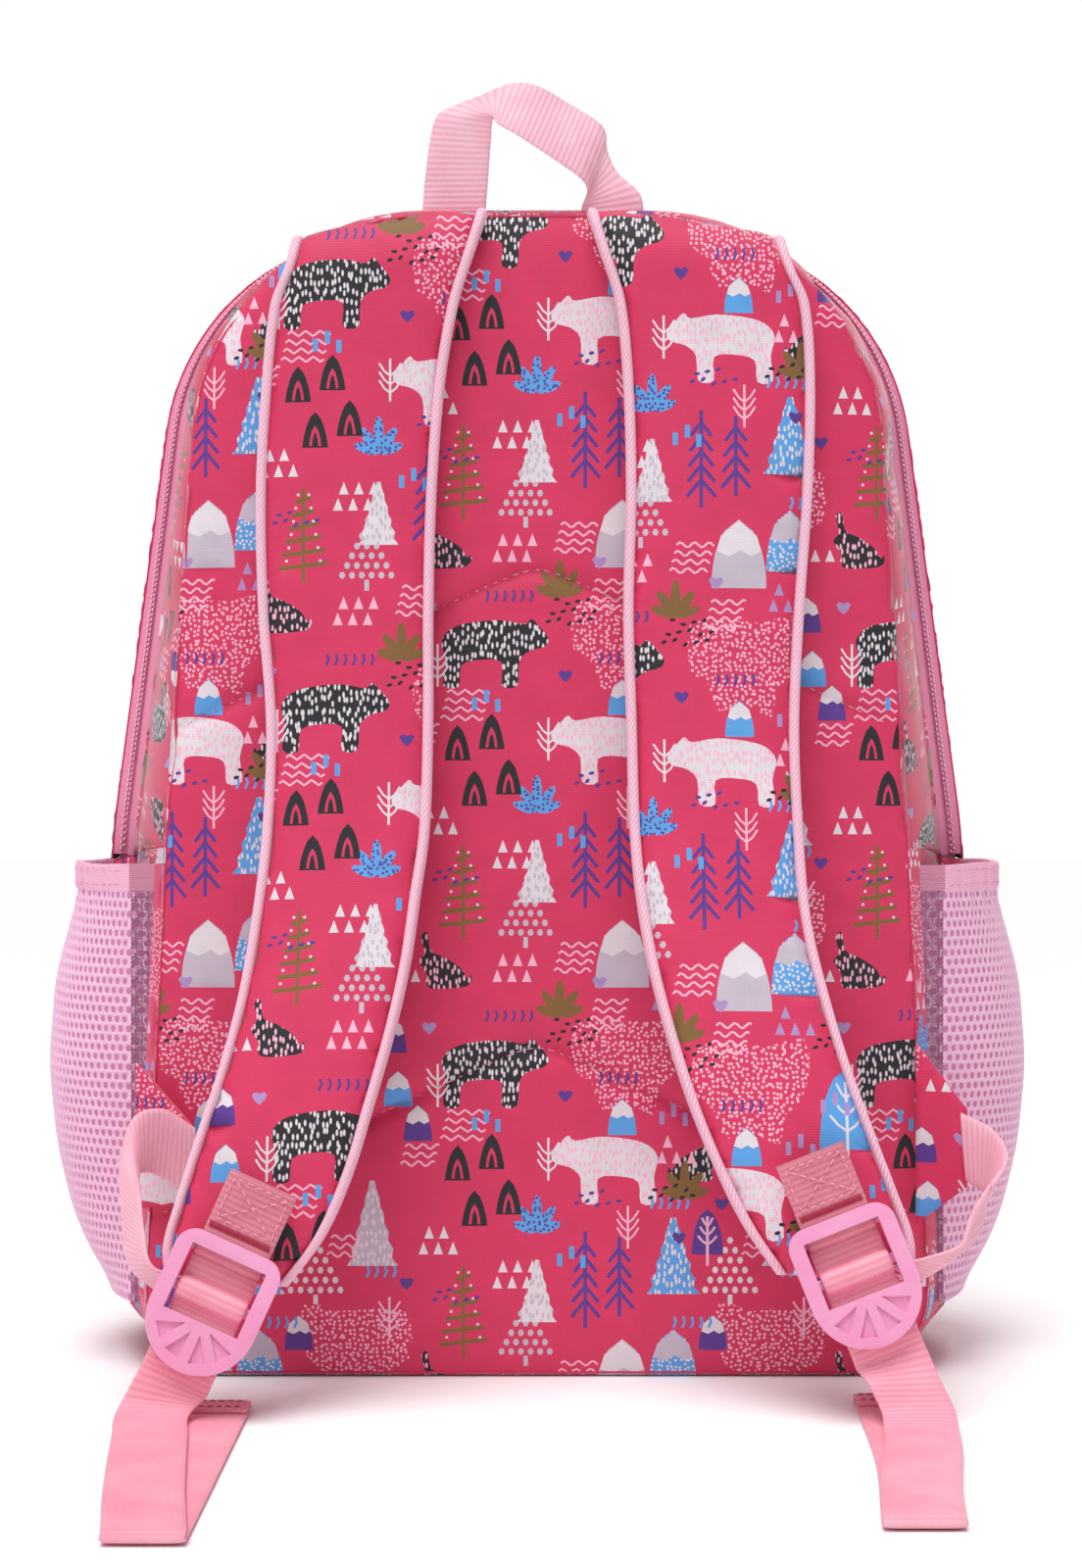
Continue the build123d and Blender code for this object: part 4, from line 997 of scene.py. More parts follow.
def upright_wall(points):
    """The same with the cloth's sides changed over, so that its print stands upright."""
    return pocket_wall(points[:, ::-1])


top_middle = float(pocket_run[np.argmin(np.abs(pocket_loop[:, 0])
                                        + (pocket_loop[:, 1] < POCKET["top"] - 1) * 1000.0)])
slot_low, slot_high = top_middle - POCKET["zip_half"], top_middle + POCKET["zip_half"]
WALLS = (
    ("front_pocket_wall", slot_high, pocket_length + slot_low, POCKET["back"], POCKET_SEAM_Y),
    ("front_pocket_rear_strip", slot_low, slot_high, POCKET["back"], POCKET["zip"] - ZIP_HALF + POCKET_TUCK),
    ("front_pocket_front_strip", slot_low, slot_high, POCKET["zip"] + ZIP_HALF - POCKET_TUCK, POCKET_SEAM_Y),
)
for name, run_low, run_high, depth_low, depth_high in WALLS:
    edge = strip_edge(run_low, run_high, depth_low, depth_high, (10, 3))
    wall = printed_piece(name, edge[::-1, ::-1], upright_wall, None, (40.0, 40.0), 5.0)
    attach(wall, "root")
    if name == "front_pocket_wall":
        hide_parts("front_pocket_gusset")

runs = np.arange(-POCKET["zip_half"] + 1.5, POCKET["zip_half"] - 1.0, COIL_PITCH)
for side in (-1, 1):
    places = np.stack([runs + (side + 1) * COIL_PITCH / 4, np.full_like(runs, POCKET["zip"] + side * 0.9),
                       np.full_like(runs, POCKET["top"] - 0.3)], axis=1)
    ones = np.ones((len(runs), 1))
    coil = coil_teeth(f"front_pocket_coil_{'rear' if side < 0 else 'front'}", places,
                      ones * (float(side), 0, 0),
                      ones * (0, -float(side), 0), ones * (0, 0, 1.0), coil_nylon)
    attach(coil, "root")
    if side < 0:
        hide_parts("front_pocket_zip_coil")

# ------------------------------------------------------------------ side pockets
# Bulging pockets of knitted spacer mesh, sewn into both sides of the bag. The outer face is an open
# net of rounded holes over a closed backing, and a ribbed elastic band gathers the mouth.
POCKET_REACH = np.array([(24.0, 157.0), (34.0, 165.0), (50.0, 173.0), (76.0, 179.5), (106.0, 182.5),
                         (138.0, 180.0), (158.0, 174.5), (170.5, 170.4), (181.0, 170.4)])
POCKET_HALF_DEPTH = 47.0
POCKET_SHOULDER = 146.0
POCKET_LOW, POCKET_MOUTH, ELASTIC_TOP = 24.5, 171.5, 181.0
MESH_HALF = 66.0
MESH_END = 74.0
REAR_RETURN, FRONT_RETURN = 1.5, 0.45


def side_pocket(along, height, lift, side):
    """A side pocket: at each height an arc through the two seams and the reach, whose radius is
    (half chord squared + rise squared) / (2 rise). Gathers ripple it below the elastic, and past the
    arc's ends a narrow return runs in to the seam."""
    knots = POCKET_REACH[:, 0]
    reach = sum(np.interp(height + shift, knots, POCKET_REACH[:, 1]) for shift in (-7.0, -2.0, 2.0, 7.0)) / 4
    gather = 0.9 * np.sin(along / 1.7) * np.exp(-np.maximum(POCKET_MOUTH - height, 0) / 9.0)
    pleat = (1.6 * np.exp(-((along + 10.0 - 0.15 * height) / 5.0) ** 2)
             * np.exp(-((height - 45.0) / 26.0) ** 2))
    rise = np.maximum(reach - POCKET_SHOULDER + lift + gather - pleat, 0.5)
    radius = (POCKET_HALF_DEPTH ** 2 + rise ** 2) / (2 * rise)
    beyond = np.maximum(np.abs(along) - MESH_HALF, 0.0)
    arc = np.clip(along, -MESH_HALF, MESH_HALF)
    angle = arc / MESH_HALF * np.arcsin(np.minimum(POCKET_HALF_DEPTH / radius, 1.0))
    slope = np.where(along * side > 0, FRONT_RETURN, REAR_RETURN)
    across = POCKET_SHOULDER + rise - radius + radius * np.cos(angle) - slope * beyond
    depth = side * (radius * np.sin(angle) + 0.35 * np.sign(along) * beyond)
    return np.stack([side * across, depth, height * np.ones_like(across)], axis=-1)


def net_piece(name, place, low, high, pitch, material):
    """A net over a box of the cloth, in mm. Each cell is a ring from eight points on its oblong border
    to eight on an oval hole, sunk by a third of the depth, and then the hole's wall. Alternate rows
    are shifted by half a cell. The function place(x, y, depth) puts it in space."""
    count = np.maximum(np.round((np.array(high) - low) / pitch), 1).astype(int)
    step = (np.array(high) - low) / count
    border = np.array([(-1, -1), (0, -1), (1, -1), (1, 0), (1, 1), (0, 1), (-1, 1), (-1, 0)]) / 2
    angle = np.arctan2(border[:, 1], border[:, 0])
    hole = np.stack([0.34 * np.cos(angle), 0.37 * np.sin(angle)], axis=1)
    centres, widths = [], []
    for row in range(count[1]):
        shift = row % 2
        x = low[0] + step[0] * (np.arange(count[0] - shift) + 0.5 + 0.5 * shift)
        width = np.full(len(x), step[0])
        if shift:
            x = np.concatenate([[low[0] + step[0] / 4], x, [high[0] - step[0] / 4]])
            width = np.concatenate([[step[0] / 2], width, [step[0] / 2]])
        centres.append(np.stack([x, np.full(len(x), low[1] + step[1] * (row + 0.5))], axis=1))
        widths.append(np.stack([width, np.full(len(x), step[1])], axis=1))
    centres, widths = np.concatenate(centres)[:, None], np.concatenate(widths)[:, None]
    rings = np.concatenate([centres + border * widths, centres + hole * widths, centres + hole * widths],
                           axis=1)
    depth = np.tile(np.repeat([0.0, 0.35, 1.0], 8), (len(centres), 1))
    flat = np.concatenate([rings, depth[..., None]], axis=2).reshape(-1, 3)
    flat, merged = np.unique(np.round(flat, 4), axis=0, return_inverse=True)
    unit = grid_faces(3, 8, True)
    faces = (unit[None] + (np.arange(len(centres)) * 24)[:, None, None]).reshape(-1, 4)
    return mesh_object(name, place(flat[:, 0], flat[:, 1], flat[:, 2]), merged.ravel()[faces], material,
                       flat[:, :2] / 10)


def surface(name, points, material, uv=None, wrap=False):
    """A grid surface from an array of rows by columns of points."""
    rows, columns = points.shape[:2]
    flat_uv = None if uv is None else uv.reshape(-1, 2)
    return mesh_object(name, points.reshape(-1, 3), grid_faces(rows, columns, wrap), material, flat_uv)


# Knitted polyester spacer mesh: soft, pale, a little shiny where the filaments catch the light. The
# filaments lie 0.2 mm apart and are drawn at 0.7 mm
air_mesh = two_shade("knitted_spacer_mesh", "#f3bcdb", 0.6, ("#eeaed2", "#fbd0e8"),
                     ("TexNoise", None, {"Scale": 1400.0}),
                     {"Sheen Weight": 0.4, "Sheen Roughness": 0.3}, relief=(0.3, 0.0002))

# The mesh's closed backing: the same yarn, coloured darker than the net as painted shade where it shows
# through the holes
backing_painted_shade = two_shade("knitted_backing_painted_shade", "#cf7fae", 0.8, ("#c573a5", "#d98fbd"),
                    ("TexNoise", None, {"Scale": 900.0}))

# Woven elastic: matt cords side by side, 2.2 mm apart, with fine threads between them
elastic_weave = two_shade("woven_elastic", "#f7b6d3", 0.75, ("#f2a5c7", "#fbc6de"),
                          ("TexWave", {"bands_direction": "Y"}, {"Scale": 4.5, "Distortion": 0.5}),
                          {"Sheen Weight": 0.2}, relief=(0.4, 0.0003), on_cloth=True)

for word, side in (("left", -1), ("right", 1)):
    net = net_piece(f"side_pocket_net_{word}", lambda x, y, depth: side_pocket(x, y, -depth * 1.1, side),
                    (-MESH_END, POCKET_LOW), (MESH_END, POCKET_MOUTH), (3.3, 3.4), air_mesh)
    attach(net, "root")
    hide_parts(f"side_pocket_mesh_{word}")
    grid_x, grid_z = np.meshgrid(np.linspace(-MESH_END, MESH_END, 100),
                                 np.linspace(POCKET_LOW, POCKET_MOUTH, 70))
    sheets = [side_pocket(grid_x, grid_z, lift, side) for lift in (-1.1, -1.6)]
    shell = np.concatenate([sheets[0], sheets[1][:, ::-1]], axis=1)
    back_net = surface(f"side_pocket_backing_{word}", shell, backing_painted_shade, wrap=True)
    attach(back_net, "root")
    ring = 2 * math.pi * np.arange(18) / 18
    squared = (np.sign(np.cos(ring)) * np.abs(np.cos(ring)) ** 0.4,
               np.sign(np.sin(ring)) * np.abs(np.sin(ring)) ** 0.4)
    along = np.linspace(-MESH_END, MESH_END, 520)[:, None]
    rib = 1 + 0.16 * np.cos(2 * math.pi * along / 2.2)
    level = ((POCKET_MOUTH - 0.6 + ELASTIC_TOP) / 2
             + squared[1][None] * (ELASTIC_TOP - POCKET_MOUTH + 0.6) / 2)
    band_points = side_pocket(along + 0 * level, np.full(level.shape, ELASTIC_TOP) + 0 * along,
                              squared[0][None] * rib * 1.1, side)
    band_points[..., 2] = level + 0.25 * np.sin(along / 9.0)
    band_uv = np.stack([along + 0 * level, level + 0 * along], axis=-1) / 10
    elastic = surface(f"side_pocket_elastic_band_{word}", band_points, elastic_weave, band_uv, wrap=True)
    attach(elastic, "root")
    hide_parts(f"side_pocket_elastic_{word}")
    line = np.linspace(-MESH_HALF + 2, MESH_HALF - 2, 120)
    for number, height in enumerate((173.4, 178.6)):
        path = side_pocket(line, np.full_like(line, ELASTIC_TOP), 1.35, side)
        path[:, 2] = height
        outward = side_pocket(line, np.full_like(line, ELASTIC_TOP), 3.35, side)
        outward[:, 2] = height
        row = seam(f"elastic_stitches_{word}_{number}", path, (outward - path) / 2.0, thread, 2.6, 1.4, 0.45)
        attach(row, "root")

# ------------------------------------------------------------------ haul loop
# A carrying loop of 24 mm polyester webbing, 1.6 mm thick, with cross ribs every 2 mm. Its two ends
# are sewn into the top seam, and its top has twisted over to one side.
RIB_PITCH = 2.0
WEBBING_THICK = 1.6


def smooth_rows(stations, spacing):
    """Rows at equal spacing along a list of stations, each a row of one or two points. A cubic joins
    each pair of stations, and its slope at a station is the chord between its neighbours."""
    rows = np.asarray(stations, float)
    middle = rows.reshape(len(rows), -1, 3).mean(axis=1)
    step = np.linalg.norm(np.diff(middle, axis=0), axis=1)
    slope = np.diff(rows, axis=0) / step[:, None]
    inner = (rows[2:] - rows[:-2]) / (step[:-1] + step[1:])[:, None]
    slope = np.concatenate([slope[:1], inner, slope[-1:]])
    run = np.concatenate([[0.0], np.cumsum(step)])
    at = np.linspace(0, run[-1], int(run[-1] / spacing) + 2)
    i = np.clip(np.searchsorted(run, at, side="right") - 1, 0, len(step) - 1)
    h = step[i][:, None]
    t = (at - run[i])[:, None] / h
    return ((2 * t ** 3 - 3 * t ** 2 + 1) * rows[i] + (t ** 3 - 2 * t ** 2 + t) * h * slope[i]
            + (3 * t ** 2 - 2 * t ** 3) * rows[i + 1] + (t ** 3 - t ** 2) * h * slope[i + 1])


def webbing(name, stations, material, thick=WEBBING_THICK, spacing=0.5, rib=0.13, cup=0.0):
    """A strip of webbing whose two edges pass through the stations. Its section is a flat oval, thicker
    at the selvedges, and ribs of one cosine wave every RIB_PITCH modulate its thickness."""
    rows = smooth_rows([np.concatenate(pair) for pair in stations], spacing)
    first, second = rows[:, :3], rows[:, 3:]
    middle = (first + second) / 2
    half = np.linalg.norm(second - first, axis=1)[:, None, None] / 2
    across = (second - first) / (2 * half[:, 0])
    along = np.gradient(middle, axis=0)
    normal = np.cross(along, across)
    normal /= np.linalg.norm(normal, axis=1)[:, None]
    run = np.concatenate([[0.0], np.cumsum(np.linalg.norm(np.diff(middle, axis=0), axis=1))])
    columns = 13
    x = np.sin(np.linspace(-math.pi / 2, math.pi / 2, columns))
    profile = np.sqrt(1 - x ** 8) * (1 + 0.12 * np.exp(-((np.abs(x) - 0.93) / 0.04) ** 2))
    x = np.concatenate([x, x[-2:0:-1]])
    profile = np.concatenate([profile, -profile[-2:0:-1]])
    rise = (1 + rib * np.cos(2 * math.pi * run / RIB_PITCH))[:, None] * profile[None]
    bow = cup * (1 - x ** 2)[None]
    points = (middle[:, None] + across[:, None] * half * x[None, :, None]
              + normal[:, None] * (rise * thick / 2 + bow)[..., None])
    uv = np.stack([half[..., 0] * x[None], run[:, None] + 0 * x[None]], axis=-1) / 10
    ring, count = len(x), len(rows)
    faces = grid_faces(count, ring, True)[:, ::-1].tolist()
    for base, flip in ((0, 1), ((count - 1) * ring, -1)):
        cap = [[base, base + 1, base + ring - 1], [base + columns - 2, base + columns - 1, base + columns]]
        cap += [[base + j, base + j + 1, base + ring - j - 1, base + ring - j]
                for j in range(1, columns - 2)]
        faces += [face[::flip] for face in cap]
    piece = mesh_object(name, points.reshape(-1, 3), faces, material, uv.reshape(-1, 2))
    return piece


def webbing_material(name, low, high, coarse):
    """Polyester webbing in one pair of shades: threads 0.5 mm apart across it, drawn as they are, with a
    slow change of tone along it. The smooth multifilament yarn gives the eye a soft satin shine."""
    material, tree, shader = new_material(name, high, 0.5, {"Sheen Weight": 0.3, "Sheen Roughness": 0.3})
    cloth = add_node(tree, "UVMap", {"uv_map": "cloth"}).outputs[0]
    rib = add_node(tree, "TexWave", {"bands_direction": "Y"},
                   {"Vector": cloth, "Scale": math.pi / 2 * coarse}).outputs["Fac"]
    warp = add_node(tree, "TexWave", {"bands_direction": "X"},
                    {"Vector": cloth, "Scale": 5.0, "Distortion": 0.5}).outputs["Fac"]
    slow = add_node(tree, "TexNoise", None, {"Vector": cloth, "Scale": 0.5}).outputs["Fac"]
    mixed = add_node(tree, "Math", {"operation": "MULTIPLY_ADD"}, {0: rib, 1: 0.55, 2: slow}).outputs[0]
    mixed = add_node(tree, "MapRange", None, {"Value": mixed, "From Min": 0.35, "From Max": 1.15}).outputs[0]
    tone = add_node(tree, "Mix", {"data_type": "RGBA"},
                    {0: mixed, 6: linear(low), 7: linear(high)}).outputs[2]
    tree.links.new(tone, shader.inputs["Base Color"])
    bump = add_node(tree, "Bump", None, {"Height": warp, "Strength": 0.35, "Distance": 0.0003}).outputs[0]
    tree.links.new(bump, shader.inputs["Normal"])
    return material


loop_weave = webbing_material("polyester_webbing_pale", "#f7a9c0", "#fdd3e0", 1.0)
# The adjuster is the same webbing as the tails, in paler shades: a painted highlight
adjuster_weave_painted_highlight = webbing_material("polyester_webbing_painted_highlight", "#f7a3ba", "#fdc6d4", 1.0)
tail_weave = webbing_material("polyester_webbing_pink", "#f78fa8", "#fdb4c5", 1.0)
patch_weave = webbing_material("polyester_webbing_rose", "#cf6f85", "#e8919f", 1.0)
HAUL_LOOP = (
    ((-41, -51, 411.0), (-18.5, -51, 411.0)), ((-40, -50, 425), (-17.5, -50.5, 425)),
    ((-38, -50, 440), (-16.5, -52, 438)), ((-35.5, -49, 448.5), (-16, -55, 444)),
    ((-30, -47, 452), (-15.5, -58, 445)), ((-21, -45, 456), (-15, -60, 444.5)),
    ((-9, -44, 461), (-14, -61, 442.5)), ((0.5, -44, 460), (-7, -61, 438.5)),
    ((12, -44, 453.5), (4, -60, 431.5)), ((22, -45, 447), (14, -58, 425)),
    ((24.5, -45, 443.5), (17, -56, 422.5)), ((25, -46, 437), (18, -54, 420.5)),
    ((29, -48, 428), (17, -52, 418)), ((36.5, -50, 420.5), (16, -51, 415.5)),
    ((38.3, -51, 411.0), (15.3, -51, 411.0)),
)
haul_loop = webbing("haul_loop_webbing", HAUL_LOOP, loop_weave)
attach(haul_loop, "haul_loop")
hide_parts("haul_loop")

# ------------------------------------------------------------------ shoulder straps
# Padded straps: a printed cover and foam sewn to a spacer-mesh underside, with both edges bound in
# narrow woven tape. They are sewn into the top seam and bow away from the back panel.
STRAPS = {
    "left": (
        ((-85.5, 401), (-17.5, 410.5), -60.5), ((-86, 398.5), (-17.6, 408.8), -66.0),
        ((-88, 390), (-21, 398), -69.3), ((-93, 377), (-27, 379), -69.5),
        ((-96, 350), (-32, 350), -69.6), ((-98, 311), (-35, 311), -70.5),
        ((-97, 270), (-36, 270), -72.0), ((-94, 230), (-36, 230), -74.5),
        ((-95, 192), (-37, 194), -79.0), ((-98, 162), (-40, 171), -84.5),
        ((-102, 136), (-43, 149), -90.5), ((-108, 112), (-48, 126), -96.5),
        ((-115, 90), (-55, 101), -102.0), ((-121, 70), (-62, 78), -106.5),
        ((-125, 54), (-71, 58), -110.0), ((-123, 43), (-83, 42), -112.0),
    ),
    "right": (
        ((17.5, 410.5), (86.5, 401), -60.5), ((17.8, 408.8), (87, 398.5), -66.0),
        ((21, 398), (89.5, 390), -69.3), ((27, 379), (95, 377), -69.5),
        ((30, 350), (97, 350), -69.6), ((31, 311), (96, 311), -70.5),
        ((30, 270), (93, 270), -72.0), ((31, 230), (91, 230), -74.5),
        ((32, 194), (92, 192), -79.0), ((34, 171), (94, 163), -84.5),
        ((38, 147), (99, 139), -90.5), ((44, 124), (106, 114), -96.5),
        ((51, 102), (114, 91), -102.0), ((60, 80), (121, 72), -106.0),
        ((69, 62), (126, 57), -109.5), ((80, 46), (126, 44), -112.0),
    ),
}
STRAP_FRONT = 5.9
STRAP_REAR = 3.2
STRAP_EDGE = 2.2
STRAP_COLUMNS = 25
STRAP_PRINT = {"left": (95.0, 40.0), "right": (0.0, 25.0)}
BINDING_HALF = 1.9
BINDING_RISE = 4.1


def from_grid(grid, row, column):
    """Values between a grid's points, at rows and columns that need not be whole: the four nearest
    points in proportion."""
    i = np.clip(row.astype(int), 0, grid.shape[0] - 2)
    j = np.clip(column.astype(int), 0, grid.shape[1] - 2)
    a, b = (row - i)[:, None], (column - j)[:, None]
    return ((1 - a) * ((1 - b) * grid[i, j] + b * grid[i, j + 1])
            + a * ((1 - b) * grid[i + 1, j] + b * grid[i + 1, j + 1]))


def find_place(flat, points):
    """The row and column at which a grid of flat places takes given values, by Newton's steps."""
    rows, columns = flat.shape[:2]
    down = flat[:, columns // 2, 1]
    row = np.interp(-points[:, 1], -down, np.arange(rows))
    column = np.full(len(points), columns / 2)
    for _ in range(9):
        miss = points - from_grid(flat, row, column)
        by_row = from_grid(flat, row + 0.5, column) - from_grid(flat, row - 0.5, column)
        by_column = from_grid(flat, row, column + 0.5) - from_grid(flat, row, column - 0.5)
        area = by_row[:, 0] * by_column[:, 1] - by_row[:, 1] * by_column[:, 0]
        row = np.clip(row + (miss[:, 0] * by_column[:, 1] - miss[:, 1] * by_column[:, 0]) / area, 0,
                      rows - 1)
        column = np.clip(column + (by_row[:, 0] * miss[:, 1] - by_row[:, 1] * miss[:, 0]) / area, 0,
                         columns - 1)
    return row, column


# Woven polyester binding tape: pale, matt, with slanting threads 0.6 mm wide drawn at 1.1 mm
binding_weave = two_shade("woven_binding_tape", "#fbd9e6", 0.75, ("#f0a0c0", "#fbdce8"),
                          ("TexWave", {"bands_direction": "DIAGONAL"}, {"Scale": 2.8, "Distortion": 1.2}),
                          {"Sheen Weight": 0.2}, relief=(0.4, 0.0003), on_cloth=True)

for word, stations in STRAPS.items():
    rows = smooth_rows([(a[0], y, a[1], b[0], y, b[1]) for a, b, y in stations], 2.0)
    first, second = rows[:, None, :3], rows[:, None, 3:]
    share = np.linspace(0, 1, STRAP_COLUMNS)[None, :, None]
    core = first * (1 - share) + second * share
    along = np.gradient(core.mean(axis=1), axis=0)
    across = rows[:, 3:] - rows[:, :3]
    width = np.linalg.norm(across, axis=1)
    across /= width[:, None]
    outward = np.cross(along, across)
    outward /= np.linalg.norm(outward, axis=1)[:, None]
    inset = (STRAP_EDGE / width)[:, None, None]
    core = first + (second - first) * (inset + share * (1 - 2 * inset))
    drop = np.linalg.norm(np.gradient(core, axis=0)[..., 1:], axis=2)
    height = core[:1, :, 2] - (np.cumsum(drop, axis=0) - drop[:1])
    flat = np.stack([core[..., 0], height], axis=2)
    centred = 2 * share[..., 0] - 1
    end = np.arange(len(rows))[:, None]
    far_end = np.clip((len(rows) - 1 - end) / 3.0, 0, 1)
    ends = np.sqrt(1 - (1 - np.clip(end / 3.0, 0, 1)) ** 2) * np.sqrt(1 - (1 - far_end) ** 2)
    plump = np.sqrt(1 - np.abs(centred) ** 10) * ends
    crown = 0.76 + 0.24 * (1 - centred ** 2)
    taper = 0.55 + 0.45 * np.clip(end / 10.0, 0, 1)
    front_grid = core + outward[:, None] * (STRAP_FRONT * plump * crown * taper)[..., None]
    rear_grid = core - outward[:, None] * (STRAP_REAR * plump * taper)[..., None]
    border = np.concatenate([flat[:-1, 0], flat[-1, :-1], flat[:0:-1, -1], flat[0, :0:-1]])
    pad = printed_piece(
        f"strap_pad_{word}", border, lambda points: from_grid(front_grid, *find_place(flat, points)),
        lambda points: from_grid(rear_grid, *find_place(flat, points)), STRAP_PRINT[word], 4.0)
    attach(pad, f"strap_{word}")
    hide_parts(f"strap_cover_{word}", f"strap_foam_{word}")
    last_row = len(rows) - 1.0
    last_column = STRAP_COLUMNS - 1.0
    strap_length = float(np.abs(height[-1, STRAP_COLUMNS // 2] - height[0, STRAP_COLUMNS // 2]))
    strap_width = float(width.mean()) - 6.0
    rear_core = core - outward[:, None] * (STRAP_REAR * taper)[..., None]

    def underside(x, y, depth):
        """The mesh underside at shares of the strap's width and length, crowned to the binding."""
        column = (x / strap_width + 0.5) * last_column
        row = y / strap_length * last_row
        side_share = 2 * x / strap_width
        near_end = np.minimum(1, np.minimum(y, strap_length - y) / 12.0)
        lift = 0.3 + 1.9 * np.sqrt(np.maximum(1 - side_share ** 6, 0)) * near_end - depth
        normal = from_grid(np.repeat(outward[:, None], 2, axis=1), row, 0 * row)
        return from_grid(rear_core, row, column) - normal * lift[:, None]

    lining_net = net_piece(f"strap_underside_{word}", underside, (-strap_width / 2, 3.0),
                           (strap_width / 2, strap_length - 3.0),
                           (3.3, 3.4), air_mesh)
    lining_net.data.flip_normals()
    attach(lining_net, f"strap_{word}")
    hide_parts(f"strap_lining_{word}")
    ring = 2 * math.pi * np.arange(16) / 16
    loop_x = np.sign(np.cos(ring)) * np.abs(np.cos(ring)) ** 0.7
    loop_y = np.sign(np.sin(ring)) * np.abs(np.sin(ring)) ** 0.7
    for number, (rim, direction) in enumerate(((rows[:, :3], 1.0), (rows[:, 3:], -1.0))):
        run = np.concatenate([[0.0], np.cumsum(np.linalg.norm(np.diff(rim, axis=0), axis=1))])
        thin = (0.50 + 0.50 * np.clip(end / 10.0, 0, 1)) * ends
        centre = rim + across * direction * BINDING_HALF
        points = (centre[:, None] + across[:, None] * loop_x[None, :, None] * BINDING_HALF
                  + outward[:, None] * (loop_y[None] * BINDING_RISE * thin + 0.4)[..., None])
        uv = np.stack([np.tile(np.abs(ring - math.pi) * 4.2, (len(rim), 1)),
                       np.tile(run[:, None], (1, len(ring)))], axis=-1) / 10
        binding = surface(f"strap_edge_{word}_{number}", points, binding_weave, uv, wrap=True)
        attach(binding, f"strap_{word}")
        if number == 0:
            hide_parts(f"strap_binding_{word}")

# ------------------------------------------------------------------ buckles and their loops
# Moulded ladder locks in lilac-pink acetal. Each hangs by its top bar in a loop of rose webbing that
# is sewn flat on the strap's end with a box and cross of stitches and a dark red bar tack.
LOCKS = {"left": ((-101.5, -121.0, 52.6), 24.4), "right": ((100.5, -119.8, 61.5), -21.5)}
LOCK_FORWARD = 10.0
WEBBING_HALF = 12.0
PATCH_ROUTE = ((27.5, 3.0), (18.0, 2.4), (9.0, 2.1), (4.0, 2.3), (0.5, 2.35), (-1.7, 1.7), (-2.4, 0.0),
               (-1.7, -1.7), (0.5, -2.3), (5.0, -1.4), (11.0, -0.6))


def lock_point(word, across, up, out):
    """A place in space from a buckle's own across, up and out: it leans outwards and forwards."""
    origin, lean = LOCKS[word]
    turn, forward = math.radians(lean), math.radians(LOCK_FORWARD)
    x_axis = np.array([math.cos(turn), 0.0, -math.sin(turn)])
    level = np.array([math.sin(turn), 0.0, math.cos(turn)])
    y_axis = level * math.cos(forward) + np.array([0.0, 1.0, 0.0]) * math.sin(forward)
    z_axis = np.cross(x_axis, y_axis)
    return np.array(origin) + across * x_axis + up * y_axis + out * z_axis


def lock_rows(word, route):
    """Pairs of edge points of webbing that runs up and down a buckle's own plane."""
    return [tuple(lock_point(word, side * WEBBING_HALF, up, out) for side in (-1, 1)) for up, out in route]


# Moulded acetal: smooth and waxy, and light passes a little way into it
lock_plastic = two_shade(
    "moulded_acetal", "#f4a3cf", 0.32, ("#f195c6", "#fab6da"),
    ("TexNoise", None, {"Scale": 90.0, "Detail": 3.0}),
    {"Subsurface Weight": 0.35, "Subsurface Scale": 0.004, "IOR": 1.48, "Coat Weight": 0.15})
tree = lock_plastic.node_tree
place = add_node(tree, "TexCoord").outputs["Object"]
grain = add_node(tree, "TexNoise", None, {"Vector": place, "Scale": 700.0}).outputs["Fac"]
bump = add_node(tree, "Bump", None, {"Height": grain, "Strength": 0.06, "Distance": 0.0002}).outputs[0]
tree.links.new(bump, tree.nodes["Principled BSDF"].inputs["Normal"])

# Dark red polyester thread for the bar tacks and hems
red_thread = two_shade("red_sewing_thread", "#b42846", 0.7, ("#9c1c38", "#cc4060"), twist)

MOULD_RADIUS = 0.0007
PATCH_FACE = ((9.0, 18.0, 27.5), (2.95, 3.25, 3.85))


def patch_out(up):
    """How far out the sewn patch's face lies at a height in the buckle's own plane."""
    return float(np.interp(up, *PATCH_FACE))


